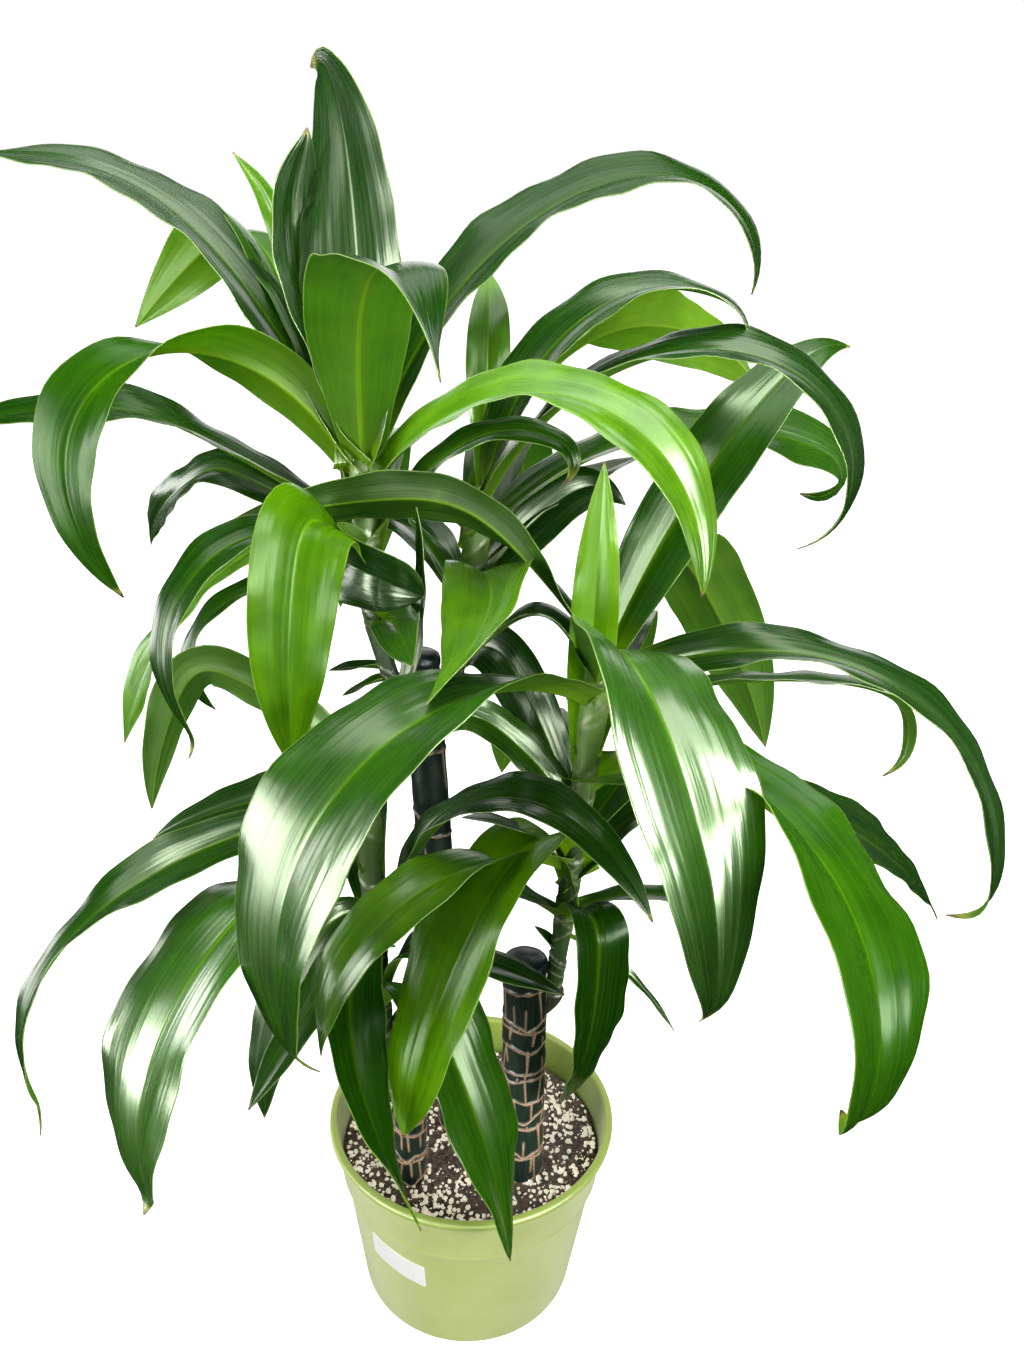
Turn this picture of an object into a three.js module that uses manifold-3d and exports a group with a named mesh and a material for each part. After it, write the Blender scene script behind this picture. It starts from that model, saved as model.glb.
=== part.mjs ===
// A corn plant (cane-grown dracaena) in a plastic grower pot.
// Millimetres, +Z up, origin at the centre of the pot's base, viewer on the -Y side.
// Three cut canes of staggered height stand in the soil. Each is sealed with wax, and
// four leafy shoots grow from their sides: one each from the short and the medium cane
// and two from the tall one.
import * as THREE from 'three';
import { mergeVertices } from 'three/addons/utils/BufferGeometryUtils.js';
import Module from 'manifold-3d';

// ---- driving dimensions -------------------------------------------------------------

const GAP = 0.3; // clearance between touching pieces

const POT = {
  height: 172,
  baseRadius: 96,
  rimRadius: 125,
  wall: 2.4,
  floor: 3,
  sides: 36,
  collarLow: 125, // height at which the collar steps out from the tapered body
  collarStep: 3, // how far it steps out
  bodyTopRadius: 112,
  collarTopRadius: 120.5,
  lipHeight: 6,
};
const DRAIN = { count: 6, radius: 6, circle: 74, sides: 10 };
const SOIL = { level: 139, bump: 2.2, rings: 5, sides: 28 };
const LABEL = { wide: 55, tall: 26, thick: 0.7, low: 77, facing: -122, tilt: -7, columns: 6 };

const CANE_SIDES = 10;
const CANE_FOOT = 50; // height of the buried cane ends
const RING = { ledge: 0.9, rise: 4, waver: 0.35 };
// foot and top are the axis at the cane's lower and upper end
const CANES = {
  short: { foot: [48, -33], top: [40, -33, 355], radius: 17.5, ringGap: 17 },
  medium: { foot: [-50, -43], top: [-52, -42, 300], radius: 13.7, ringGap: 15 },
  tall: { foot: [-9, 20], top: [-50, 20, 592], radius: 14.5, ringGap: 33 },
};
const WAX = { overhang: 0.9, height: 8.5, sides: 14 };

// A shoot's stem is a quadratic curve from the cane's side up to the crown.
const STEM = { lowRadius: 6.5, highRadius: 10.5, sides: 8, steps: 7 };
const STEMS = {
  1: [[63, -30, 326], [70, -27, 400], [82, -35, 625]],
  2: [[-63, 19, 560], [-92, 14, 610], [-89, 12, 740]],
  3: [[-31, 23, 558], [-14, 22, 610], [-8, 20, 718]],
  4: [[-69, -41, 262], [-82, -34, 380], [-84, -40, 520]],
};

const BLADE = {
  thick: 0.8,
  baseShare: 0.38, // width at the base, as a share of the full width
  widest: 0.45, // where the blade is widest, as a share of its length
  steadyBend: 0.35, // share of the droop that is spread evenly
  cupBase: 0.4, // how steeply the two halves rise from the midrib at the base
  cupTip: 0.1,
  twistSpan: 0.12,
  tipHalfWidth: 0.6,
  rowLength: 52,
  leastRows: 4,
  bendPull: 0.45, // how strongly the rows crowd together where the blade bends
  rippleLength: 115,
  ripple: 2.6,
  ripplePhase: 2.4,
  steps: 120,
  tidy: 0.05, // merges the slivers left where leaves are fused
};

// Each leaf: place on the stem (0 to 1), direction it faces (degrees, 0 = +X, -90 = to
// the viewer), lift at the base and droop by the tip (degrees), place and span of the
// bend (shares of the length), length and width (mm), sweep of the midrib, roll of the
// blade, extra twist towards the tip (degrees) and the twist's place.
const LEAVES = {
  1: [
    [0.72,   90,  89,    0,  0.5,  0.3, 248,  34,   0,   0,   0,  0.5],
    [0.97,   40,  64,   75, 0.95,  0.1, 310,  54, -15,  35,   0,  0.5],
    [ 0.9,   62,  52,  118, 0.32, 0.06, 440,  70, -25, -25, -20,  0.5],
    [0.95,  -20,  32,  130, 0.65,  0.3, 400,  46, -25,  50, -55,  0.3],
    [ 0.9,   -5,  24,  130,  0.8,  0.1, 290,  30,  10, -10,   0,  0.5],
    [0.93,  -95,  58,  150,  0.4,  0.4, 380,  80,  50, -25,  30,  0.5],
    [0.75,  -50,  36,  180, 0.85,  0.2, 450,  84, -40,  25, -55, 0.35],
    [ 0.7,    0,  54,  105,  0.1,  0.1, 470,  52,  45, -15,  55,  0.4],
    [ 0.9,  235,  36,  140, 0.45,  0.3, 460,  84, -45,  15, -45, 0.45],
    [   1,  176,  53,   72, 0.45,  0.1, 320,  40,  -7,  -9,  75, 0.25],
    [0.65,  135,  62,  115, 0.62,  0.1, 250,  42, -10, -50,   0,  0.5],
    [0.65,  180,  62,  110, 0.75, 0.08, 165,  32,   0, -40,   0,  0.5],
    [0.93,  175,  70,  125,  0.5,  0.1, 145,  34,   0, -10,  20, 0.45],
    [0.49, -135,  78,  155,  0.2,  0.1, 310,  84,  10,  15, -20, 0.85],
    [0.51,  223,  41,  131, 0.55, 0.55, 295,  54, -26,  23, -35, 0.45],
    [0.35,  -71,  48,  175, 0.25, 0.05, 300,  52,  -5,  -5, -25, 0.35],
    [0.38,    8,  24,   55,  0.4,  0.3, 150,  24,   0,   0,   0,  0.5],
    [ 0.3,  -25,  -5,   45,  0.4,  0.3, 118,   9,   0,   0,   0,  0.5],
    [0.35,  205,  46,   30,  0.5,  0.3, 110,  30,   0,   0,   0,  0.5],
    [ 0.2,  180,  60,   10,  0.5,  0.3,  35,  12,   0,   0,   0,  0.5],
    [0.45,   20,  60,   60,  0.5,  0.3, 170,  40,   0,   0,   0,  0.5],
    [ 0.4,  208,  79,   62,  0.5,  0.3, 145,  36,  -1,   3,   0,  0.5],
    [0.55,   35,  60,   60,  0.5,  0.3, 180,  42,   0,   0,   0,  0.5],
    [ 0.8,   78,  50,  120, 0.45,  0.3, 330,  60,   0,   0,   0,  0.5],
    [0.58,  105,  45,  110, 0.45,  0.3, 290,  54,   0,   0,   0,  0.5],
  ],
  2: [
    [   1,  130,  92,   45, 0.85,  0.1, 275,  76,   5, -65, -25,  0.7],
    [   1,  165,  62,  -55,  0.8, 0.25, 225,  62,   5,  -5, -30,  0.8],
    [0.97,  -90,  64,  120,  0.8,  0.3, 335,  66,  30,   0, -60, 0.85],
    [   1,  165,  72,   35, 0.85, 0.05, 228,  20, -20, -60,   0,  0.5],
    [0.95,  160,  60,   60, 0.65,  0.2, 380,  64,   5,  -5, -20, 0.75],
    [0.85,  130,  67,  108,  0.6, 0.05, 394,  60,  20,   8,  63,  0.7],
    [0.93,  195,  66,  190, 0.55,  0.3, 375,  54,  10,  65, -115, 0.45],
    [ 0.8,  170,  30,   42, 0.55,  0.1, 340,  46,   5,  10, -40,  0.5],
    [ 0.8,  165,  18,   55,  0.4, 0.05, 345,  34, -55, -40, -60,  0.6],
    [0.97,   50,  68,  170, 0.95, 0.25, 445,  66, -60,   5,  15, 0.45],
    [0.45, -112,  64,  161, 0.45, 0.05, 310,  60,   7, -37,   0,  0.5],
    [0.55,  228,  66,  190,  0.5,  0.4, 310,  40, -15,  -5,   0,  0.5],
    [ 0.5,  195,  36,  170,  0.8, 0.45, 210,  34,   5,   0, -50,  0.8],
    [ 0.6,  180,  82,  155,  0.1, 0.15, 335,  50, -25, -30, -45, 0.75],
    [ 0.7,  220,  22,   50,  0.5,  0.2, 115,  56, 185,  30,  70,  0.3],
    [0.45,  -68,  30,   45, 0.45, 0.25, 118,  34,  -5,  15,  40,  0.7],
    [0.22,  190,  10,   20,  0.5,  0.3,  45,  14,   0,   0,   0,  0.5],
    [0.16,  200,  -5,   20,  0.5,  0.3,  40,  12,   0,   0,   0,  0.5],
    [0.92,  -24,  54,  145, 0.85, 0.55, 350,  62, -14,  38, -25,  0.3],
    [0.75,  -21,  60,  103, 0.75, 0.25, 220,  26,   1,  34,   0,  0.5],
    [0.72,   95,  52,  130, 0.45,  0.3, 340,  60,   0,   0,   0,  0.5],
    [ 0.5,  120,  40,  109, 0.45,  0.3, 270,  48,   1,   0,   0,  0.5],
  ],
  3: [
    [   1,   85,  76,   50,  0.5,  0.3, 200,  32,  10,  40, -40,  0.4],
    [0.97,   -5,  80,  120,  0.7,  0.3, 295,  54,  -5,  35, -30,  0.6],
    [0.95,   35,  76,  105, 0.25, 0.25, 455,  56,  25, -25, -75,  0.5],
    [0.93,  -20,  68,  205, 0.95, 0.45, 410,  52,  10,  10,  10, 0.55],
    [ 0.6,   20,  58,  100,  0.8,  0.1, 162,  44,   0,  45,   0,  0.5],
    [ 0.7,   35,  46,   35,  0.4,  0.3, 178,  36,   0,   0,   0,  0.5],
    [0.49,  -50,  71,   99, 0.25, 0.05, 220,  66, -81, -12,  50,  0.4],
    [0.85,   17,  47,  240,  0.9, 0.05, 365,  64,  -4,   1,  45, 0.65],
    [ 0.5,  170,  70,   20,  0.5,  0.3,  90,  30,   0,   0,   0,  0.5],
    [ 0.8,   80,  50,  125, 0.45,  0.3, 330,  56,   0,   0,   0,  0.5],
    [0.55,  125,  42,  110, 0.45,  0.3, 280,  50,   0,   0,   0,  0.5],
  ],
  4: [
    [ 0.9,  205,  10,  125, 0.75, 0.15, 375,  40,  50, -30,  65,  0.5],
    [0.83,  234,  13,  120, 0.65,  0.6, 355,  84,   0,  55, -50,  0.3],
    [ 0.9,  175,  38,   70, 0.15,  0.1, 184,  42,   0, -25,   0,  0.5],
    [0.44, -115,  80,  135,  0.1, 0.05, 260,  50,  85, -30, -30, 0.75],
    [ 0.5,  212,  62,  153, 0.15, 0.06, 228,  42,   0, -30,   0,  0.5],
    [0.41,  251,  36,   79, 0.34, 0.05, 180,  32, -20,  -1,   0,  0.5],
    [ 0.2,  -55,  58,  140, 0.25, 0.05, 308,  76,  25, -10, -10,  0.7],
    [   1,  183,  53,  135, 0.55, 0.05, 265,  40,   7,  79, -25,  0.5],
    [   1,   28,  62,  -36, 0.55,  0.3, 210,  22,   2,   3,   0,  0.5],
    [ 0.2,  -20,  79,   92, 0.35, 0.06, 200,  38,   0,   0,   0,  0.5],
    [0.26,  -18,  88,  141,  0.7, 0.25, 390,  52, -21,  26, -20, 0.45],
    [ 0.7,  105,  50,  120, 0.45,  0.3, 290,  52,   0,   0,   0,  0.5],
    [ 0.5,  110,  45,  110, 0.45,  0.3, 250,  46,   0,   0,   0,  0.5],
  ],
};

// ---- solids -------------------------------------------------------------------------

const kernel = await Module();
kernel.setup();

function toSolid(geometry) {
  const bare = geometry.clone();
  bare.deleteAttribute('normal');
  bare.deleteAttribute('uv');
  const merged = mergeVertices(bare, 1e-4);
  return new kernel.Manifold(new kernel.Mesh({
    numProp: 3,
    vertProperties: merged.attributes.position.array,
    triVerts: Uint32Array.from(merged.index.array),
  }));
}

function toGeometry(solid) {
  const mesh = solid.getMesh();
  const geometry = new THREE.BufferGeometry();
  geometry.setAttribute('position', new THREE.BufferAttribute(mesh.vertProperties, 3));
  geometry.setIndex(new THREE.BufferAttribute(mesh.triVerts, 1));
  return geometry;
}

// A closed body through rings of points, each ring running anticlockwise seen from the
// end it grows towards. In a blade the second half of each ring is the back face, whose
// quads are split along the same diagonals as the front's.
function loft(rings, isBlade = false) {
  const size = rings[0].length;
  const positions = rings.flat().flatMap((point) => point.toArray());
  const index = [];
  for (let row = 0; row < rings.length - 1; row += 1) {
    for (let k = 0; k < size; k += 1) {
      const a = row * size + k;
      const b = row * size + (k + 1) % size;
      const c = b + size;
      const d = a + size;
      if (isBlade && k >= size / 2) {
        index.push(a, b, d, b, c, d);
      } else {
        index.push(a, b, c, a, c, d);
      }
    }
  }
  const apex = isBlade ? 1 : 0;
  const last = (rings.length - 1) * size;
  for (let k = 1; k < size - 1; k += 1) {
    const next = (apex + k) % size;
    const after = (apex + k + 1) % size;
    index.push(apex, after, next);
    index.push(last + apex, last + next, last + after);
  }
  const geometry = new THREE.BufferGeometry();
  geometry.setAttribute('position', new THREE.Float32BufferAttribute(positions, 3));
  geometry.setIndex(index);
  return geometry;
}

function lathe(profile, sides) {
  const points = profile.map(([radius, height]) => new THREE.Vector2(radius, height));
  return new THREE.LatheGeometry(points, sides).rotateX(Math.PI / 2);
}

function circle(centre, radius, sides) {
  return Array.from({ length: sides }, (_, k) => {
    const angle = (2 * Math.PI * k) / sides;
    return new THREE.Vector3(
      centre.x + radius * Math.cos(angle),
      centre.y + radius * Math.sin(angle),
      centre.z,
    );
  });
}

function largestPiece(solid) {
  return solid.decompose().reduce((a, b) => (a.volume() > b.volume() ? a : b));
}

// ---- pot and soil -------------------------------------------------------------------

function makePot() {
  const lipLow = POT.height - POT.lipHeight;
  const lipInner = POT.collarTopRadius - POT.wall;
  const profile = [
    [0, 0],
    [POT.baseRadius - 1.5, 0],
    [POT.baseRadius, 1.5],
    [POT.bodyTopRadius, POT.collarLow - POT.collarStep],
    [POT.bodyTopRadius + POT.collarStep, POT.collarLow],
    [POT.collarTopRadius, lipLow - POT.lipHeight],
    [POT.rimRadius - 0.8, lipLow],
    [POT.rimRadius, POT.height - POT.lipHeight / 2],
    [POT.rimRadius - 1.6, POT.height],
    [lipInner + 1, POT.height],
    [lipInner, lipLow],
    [POT.bodyTopRadius + POT.collarStep - POT.wall, POT.collarLow],
    [POT.baseRadius - POT.wall, POT.floor],
    [0, POT.floor],
  ];
  let pot = toSolid(lathe(profile, POT.sides));
  for (let k = 0; k < DRAIN.count; k += 1) {
    const angle = (2 * Math.PI * (k + 0.5)) / DRAIN.count;
    const hole = new THREE.CylinderGeometry(
      DRAIN.radius, DRAIN.radius, 3 * POT.floor, DRAIN.sides,
    );
    hole.rotateX(Math.PI / 2);
    hole.translate(DRAIN.circle * Math.cos(angle), DRAIN.circle * Math.sin(angle), 0);
    pot = pot.subtract(toSolid(hole));
  }
  return pot;
}

function innerRadius(height) {
  const floorRadius = POT.baseRadius - POT.wall;
  const collarRadius = POT.bodyTopRadius + POT.collarStep - POT.wall;
  const lipRadius = POT.collarTopRadius - POT.wall;
  const lipLow = POT.height - POT.lipHeight;
  if (height < POT.collarLow) {
    const share = (height - POT.floor) / (POT.collarLow - POT.floor);
    return floorRadius + share * (collarRadius - floorRadius);
  }
  const share = (height - POT.collarLow) / (lipLow - POT.collarLow);
  return collarRadius + share * (lipRadius - collarRadius);
}

function soilHeight(x, y) {
  const waves = Math.sin(x / 13 + 0.7) * Math.cos(y / 17) + 0.6 * Math.sin((x + y) / 7.3);
  return SOIL.level + SOIL.bump * waves;
}

function makeSoil(canes) {
  const edge = SOIL.level - SOIL.bump;
  const clear = GAP / Math.cos(Math.PI / SOIL.sides) + POT.wall / 4;
  const profile = [
    [0, POT.floor + GAP],
    [innerRadius(POT.floor) - clear, POT.floor + GAP],
    [innerRadius(POT.collarLow) - clear, POT.collarLow],
    [innerRadius(edge) - clear, edge],
  ];
  for (let k = SOIL.rings - 1; k >= 0; k -= 1) {
    profile.push([((innerRadius(edge) - clear) * k) / SOIL.rings, SOIL.level]);
  }
  const geometry = lathe(profile, SOIL.sides);
  const position = geometry.attributes.position;
  for (let k = 0; k < position.count; k += 1) {
    if (position.getZ(k) > edge + 0.01) {
      position.setZ(k, soilHeight(position.getX(k), position.getY(k)));
    }
  }
  return canes.reduce((soil, cane) => soil.subtract(cane), toSolid(geometry));
}

// ---- label --------------------------------------------------------------------------

// A blank rounded sticker, bent round the tapered wall of the pot.
function makeLabel() {
  const rings = [];
  for (let column = 0; column <= LABEL.columns; column += 1) {
    const across = (2 * column) / LABEL.columns - 1;
    const corner = column === 0 || column === LABEL.columns ? LABEL.tall / 8 : 0;
    const middle = LABEL.low + LABEL.tall / 2
      + Math.sin(THREE.MathUtils.degToRad(LABEL.tilt)) * across * LABEL.wide / 2;
    const point = (height, lift) => {
      const share = (height - 1.5) / (POT.collarLow - POT.collarStep - 1.5);
      const radius = POT.baseRadius + share * (POT.bodyTopRadius - POT.baseRadius) + lift;
      const turn = (across * LABEL.wide) / 2 / radius;
      const angle = THREE.MathUtils.degToRad(LABEL.facing) + turn;
      return new THREE.Vector3(radius * Math.cos(angle), radius * Math.sin(angle), height);
    };
    const low = middle - LABEL.tall / 2 + corner;
    const high = middle + LABEL.tall / 2 - corner;
    rings.push([
      point(low, GAP),
      point(high, GAP),
      point(high, GAP + LABEL.thick),
      point(low, GAP + LABEL.thick),
    ]);
  }
  return toSolid(loft(rings));
}

// ---- canes and wax ------------------------------------------------------------------

// A cane is a leaning round post with a small ledge at each leaf scar.
function makeCane({ foot, top, radius, ringGap }, clear = 0) {
  const low = new THREE.Vector3(foot[0], foot[1], CANE_FOOT - clear);
  const high = new THREE.Vector3(top[0], top[1], top[2] + clear);
  const rings = [];
  const addRing = (height, swell) => {
    const centre = low.clone().lerp(high, (height - low.z) / (high.z - low.z));
    rings.push(circle(centre, radius + swell + clear, CANE_SIDES));
  };
  addRing(low.z, 0);
  const count = Math.floor((top[2] - SOIL.level) / ringGap);
  for (let k = 0; k < count; k += 1) {
    const height = SOIL.level + 4 + ringGap * (k + RING.waver * Math.sin(2.4 * k));
    addRing(height, RING.ledge);
    addRing(height + RING.rise, 0);
  }
  addRing(high.z, 0);
  return toSolid(loft(rings));
}

function makeWaxCap({ top, radius }) {
  const rim = radius + WAX.overhang;
  const profile = [
    [0, 0],
    [rim - 0.6, 0],
    [rim, 1.5],
    [rim - 0.8, WAX.height * 0.5],
    [rim * 0.72, WAX.height * 0.85],
    [0, WAX.height],
  ];
  const cap = lathe(profile, WAX.sides).translate(top[0], top[1], top[2] + GAP);
  return toSolid(cap);
}

// ---- shoots -------------------------------------------------------------------------

function onStem(points, share) {
  const [a, b, c] = points.map((point) => new THREE.Vector3(...point));
  return new THREE.QuadraticBezierCurve3(a, b, c).getPoint(share);
}

function makeStem(points) {
  const rings = [];
  for (let k = 0; k <= STEM.steps; k += 1) {
    const share = k / STEM.steps;
    const radius = STEM.lowRadius + share * (STEM.highRadius - STEM.lowRadius);
    rings.push(circle(onStem(points, share), radius, STEM.sides));
  }
  const tip = onStem(points, 1).add(new THREE.Vector3(0, 0, STEM.highRadius));
  rings.push(circle(tip, STEM.lowRadius / 2, STEM.sides));
  return toSolid(loft(rings));
}

function widthShare(s) {
  if (s < BLADE.widest) {
    const rise = Math.sin((Math.PI / 2) * (s / BLADE.widest));
    return BLADE.baseShare + (1 - BLADE.baseShare) * rise ** 1.3;
  }
  const fall = ((s - BLADE.widest) / (1 - BLADE.widest)) ** 1.5;
  return Math.max(Math.cos((Math.PI / 2) * fall), 0) ** 0.9;
}

function bendShare(s, place, span) {
  const reach = (x) => Math.tanh((x - place) / span);
  return (reach(s) - reach(0)) / (reach(1) - reach(0));
}

// The midrib as small steps, each with its point, the blade's side and its upper normal.
function traceMidrib(start, leaf) {
  const [, facing, lift, droop, bendAt, bendSpan, long, , sweep, roll, twist, twistAt] = leaf;
  const degrees = THREE.MathUtils.degToRad;
  const point = start.clone();
  const trace = [];
  let before = null;
  for (let k = 0; k <= BLADE.steps; k += 1) {
    const s = k / BLADE.steps;
    const bent = bendShare(s, bendAt, bendSpan);
    const bend = BLADE.steadyBend * s + (1 - BLADE.steadyBend) * bent;
    const rise = degrees(lift - droop * bend);
    const heading = degrees(facing + sweep * s);
    const turned = 0.5 * (1 + Math.tanh((s - twistAt) / BLADE.twistSpan));
    const rolled = degrees(roll + twist * turned);
    const along = new THREE.Vector3(
      Math.cos(rise) * Math.cos(heading),
      Math.cos(rise) * Math.sin(heading),
      Math.sin(rise),
    );
    const level = new THREE.Vector3(-Math.sin(heading), Math.cos(heading), 0);
    const upper = new THREE.Vector3().crossVectors(along, level);
    const side = level.clone().multiplyScalar(Math.cos(rolled))
      .addScaledVector(upper, Math.sin(rolled));
    const normal = upper.multiplyScalar(Math.cos(rolled))
      .addScaledVector(level, -Math.sin(rolled));
    if (before) {
      point.addScaledVector(before.add(along), long / BLADE.steps / 2);
    }
    before = along;
    const pace = (1 - BLADE.bendPull) * s + BLADE.bendPull * bent;
    trace.push({ s, pace, point: point.clone(), side, normal });
  }
  return trace;
}

function makeLeaf(points, leaf, number) {
  const [place, , , , , , long, wide] = leaf;
  const trace = traceMidrib(onStem(points, place), leaf);
  const rows = Math.max(BLADE.leastRows, Math.round(long / BLADE.rowLength));
  const rings = [];
  for (let row = 0; row <= rows; row += 1) {
    const { s, point, side, normal } = trace.find((step) => step.pace >= row / rows - 1e-9);
    const half = Math.max((wide / 2) * widthShare(s), BLADE.tipHalfWidth);
    const cup = BLADE.cupTip + (BLADE.cupBase - BLADE.cupTip) * (1 - s);
    const edge = (hand) => {
      const turn = (2 * Math.PI * long * s) / BLADE.rippleLength;
      const wave = Math.sin(turn + BLADE.ripplePhase * number + 0.9 * hand);
      const ripple = BLADE.ripple * wave * Math.sin(Math.PI * s) * (wide / 60);
      return point.clone().addScaledVector(side, hand * half)
        .addScaledVector(normal, cup * half + ripple);
    };
    const front = [edge(-1), point, edge(1)];
    const shift = normal.clone().multiplyScalar(BLADE.thick / 2);
    rings.push([
      ...front.map((spot) => spot.clone().sub(shift)),
      ...front.map((spot) => spot.clone().add(shift)).reverse(),
    ]);
  }
  return toSolid(loft(rings, true));
}

function makeShoot(number, keepOut) {
  const stem = makeStem(STEMS[number]);
  const leaves = LEAVES[number].map((leaf, k) => makeLeaf(STEMS[number], leaf, k));
  const grown = leaves.reduce((shoot, leaf) => shoot.add(leaf), stem);
  const clear = keepOut.reduce((shoot, other) => shoot.subtract(other), grown);
  return largestPiece(clear).asOriginal().simplify(BLADE.tidy);
}

// ---- assembly -----------------------------------------------------------------------

const PAINT = {
  pot: { color: 0x9db45a, roughness: 0.45 },
  soil: { color: 0x3a2a20, roughness: 0.95 },
  cane: { color: 0x24352b, roughness: 0.55 },
  wax: { color: 0x0e1a1e, roughness: 0.35 },
  leaf: { color: 0x2f6b23, roughness: 0.3 },
  label: { color: 0xf4f4f1, roughness: 0.6 },
};

const plant = new THREE.Group();

function addNode(name, solid, paint) {
  const material = new THREE.MeshStandardMaterial({ ...PAINT[paint], metalness: 0 });
  const mesh = new THREE.Mesh(toGeometry(solid), material);
  mesh.name = name;
  plant.add(mesh);
}

const names = Object.keys(CANES);
const clearings = names.map((name) => makeCane(CANES[name], GAP));
const caps = names.map((name) => makeWaxCap(CANES[name]));

addNode('pot', makePot(), 'pot');
addNode('soil', makeSoil(clearings), 'soil');
names.forEach((name, k) => {
  addNode(`cane_${name}`, makeCane(CANES[name]), 'cane');
  addNode(`wax_cap_${name}`, caps[k], 'wax');
});
Object.keys(LEAVES).forEach((number) => {
  addNode(`shoot_${number}`, makeShoot(number, [...clearings, ...caps]), 'leaf');
});
addNode('label', makeLabel(), 'label');

export default plant;
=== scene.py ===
"""A corn plant in a plastic grower pot: the looks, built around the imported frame.

Dimensions are in millimetres, as in the part's source, and become metres as a mesh is
made. Leaves, canes, pot, soil, wax and label replace the plain solids of the same names.
"""
import math
import random
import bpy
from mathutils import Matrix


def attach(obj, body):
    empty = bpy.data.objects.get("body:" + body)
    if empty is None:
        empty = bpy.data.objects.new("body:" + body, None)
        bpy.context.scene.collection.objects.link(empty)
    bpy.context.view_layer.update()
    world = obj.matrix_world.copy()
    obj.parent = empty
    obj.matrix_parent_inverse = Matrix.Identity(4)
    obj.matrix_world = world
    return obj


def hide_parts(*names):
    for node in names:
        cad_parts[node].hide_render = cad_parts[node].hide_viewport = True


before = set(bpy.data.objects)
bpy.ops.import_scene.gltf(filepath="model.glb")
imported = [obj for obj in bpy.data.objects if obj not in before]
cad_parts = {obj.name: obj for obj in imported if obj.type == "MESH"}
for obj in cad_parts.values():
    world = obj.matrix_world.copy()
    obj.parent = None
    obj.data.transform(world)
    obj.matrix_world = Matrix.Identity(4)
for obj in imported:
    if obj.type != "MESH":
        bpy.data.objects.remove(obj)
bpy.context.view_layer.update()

from types import SimpleNamespace as Sizes

import bmesh
import bpy
import numpy as np
from mathutils import Matrix, Vector, noise

MM = 0.001
UP = np.array([0.0, 0.0, 1.0])

# ---- the plant's own dimensions, the same as in the part's source (mm, degrees) ----

POT = Sizes(
    height=172, base_radius=96, rim_radius=125, wall=2.4, floor=3,
    collar_low=125, collar_step=3, body_top_radius=112,
    collar_top_radius=120.5, lip_height=6, sides=180, out_of_round=0.35,
)
DRAIN = Sizes(count=6, radius=6, circle=74, sides=32)
SOIL = Sizes(
    level=139, bump=2.2, rings=120, sides=260, clear=0.9, edge_band=7, edge_dip=1.6,
    grain_margin=4,
)
LABEL = Sizes(
    wide=55, tall=26, thick=0.5, low=77, facing=-122, tilt=-7,
    columns=40, corner=2.2, gap=0.3, taper_low=1.5,
)
CANES = {
    "short": Sizes(foot=(48, -33, 50), top=(40, -33, 355), radius=17.5, ring_gap=17),
    "medium": Sizes(foot=(-50, -43, 50), top=(-52, -42, 300), radius=13.7, ring_gap=15),
    "tall": Sizes(foot=(-9, 20, 50), top=(-50, 20, 592), radius=14.5, ring_gap=33),
}
RING_WAVER, LOWEST_RING = 0.35, 4
WAX = Sizes(overhang=0.9, height=8.5, sides=56, gap=0.3, lumps=0.4, lump_length=8.0)
STEM = Sizes(low_radius=6.5, high_radius=10.5)
STEMS = {
    1: ((63, -30, 326), (70, -27, 400), (82, -35, 625)),
    2: ((-63, 19, 560), (-92, 14, 610), (-89, 12, 740)),
    3: ((-31, 23, 558), (-14, 22, 610), (-8, 20, 718)),
    4: ((-69, -41, 262), (-82, -34, 380), (-84, -40, 520)),
}
STEM_CANE = {1: "short", 2: "tall", 3: "tall", 4: "medium"}
BLADE = Sizes(
    base_share=0.38, widest=0.45, steady_bend=0.35, cup_base=0.4,
    cup_tip=0.1, twist_span=0.12, tip_half_width=0.6, ripple_length=115,
    ripple=2.6, ripple_phase=2.4, steps=120,
)
# Finer form that only the looks have: swell of each half blade, clasping base, thickness
# at the margin and at the midrib, and how often the traced steps become mesh rows.
FINE = Sizes(
    swell=0.07, clasp=0.9, clasp_length=34, edge_thick=0.55, rib_thick=1.5,
    rib_width=3.2, row_step=2, flutter=0.9, flutter_length=41,
)
# Places across the blade, from the midrib to the margin, as shares of the half width.
ACROSS = (0, 0.05, 0.14, 0.3, 0.5, 0.7, 0.87, 0.97, 1)

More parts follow.
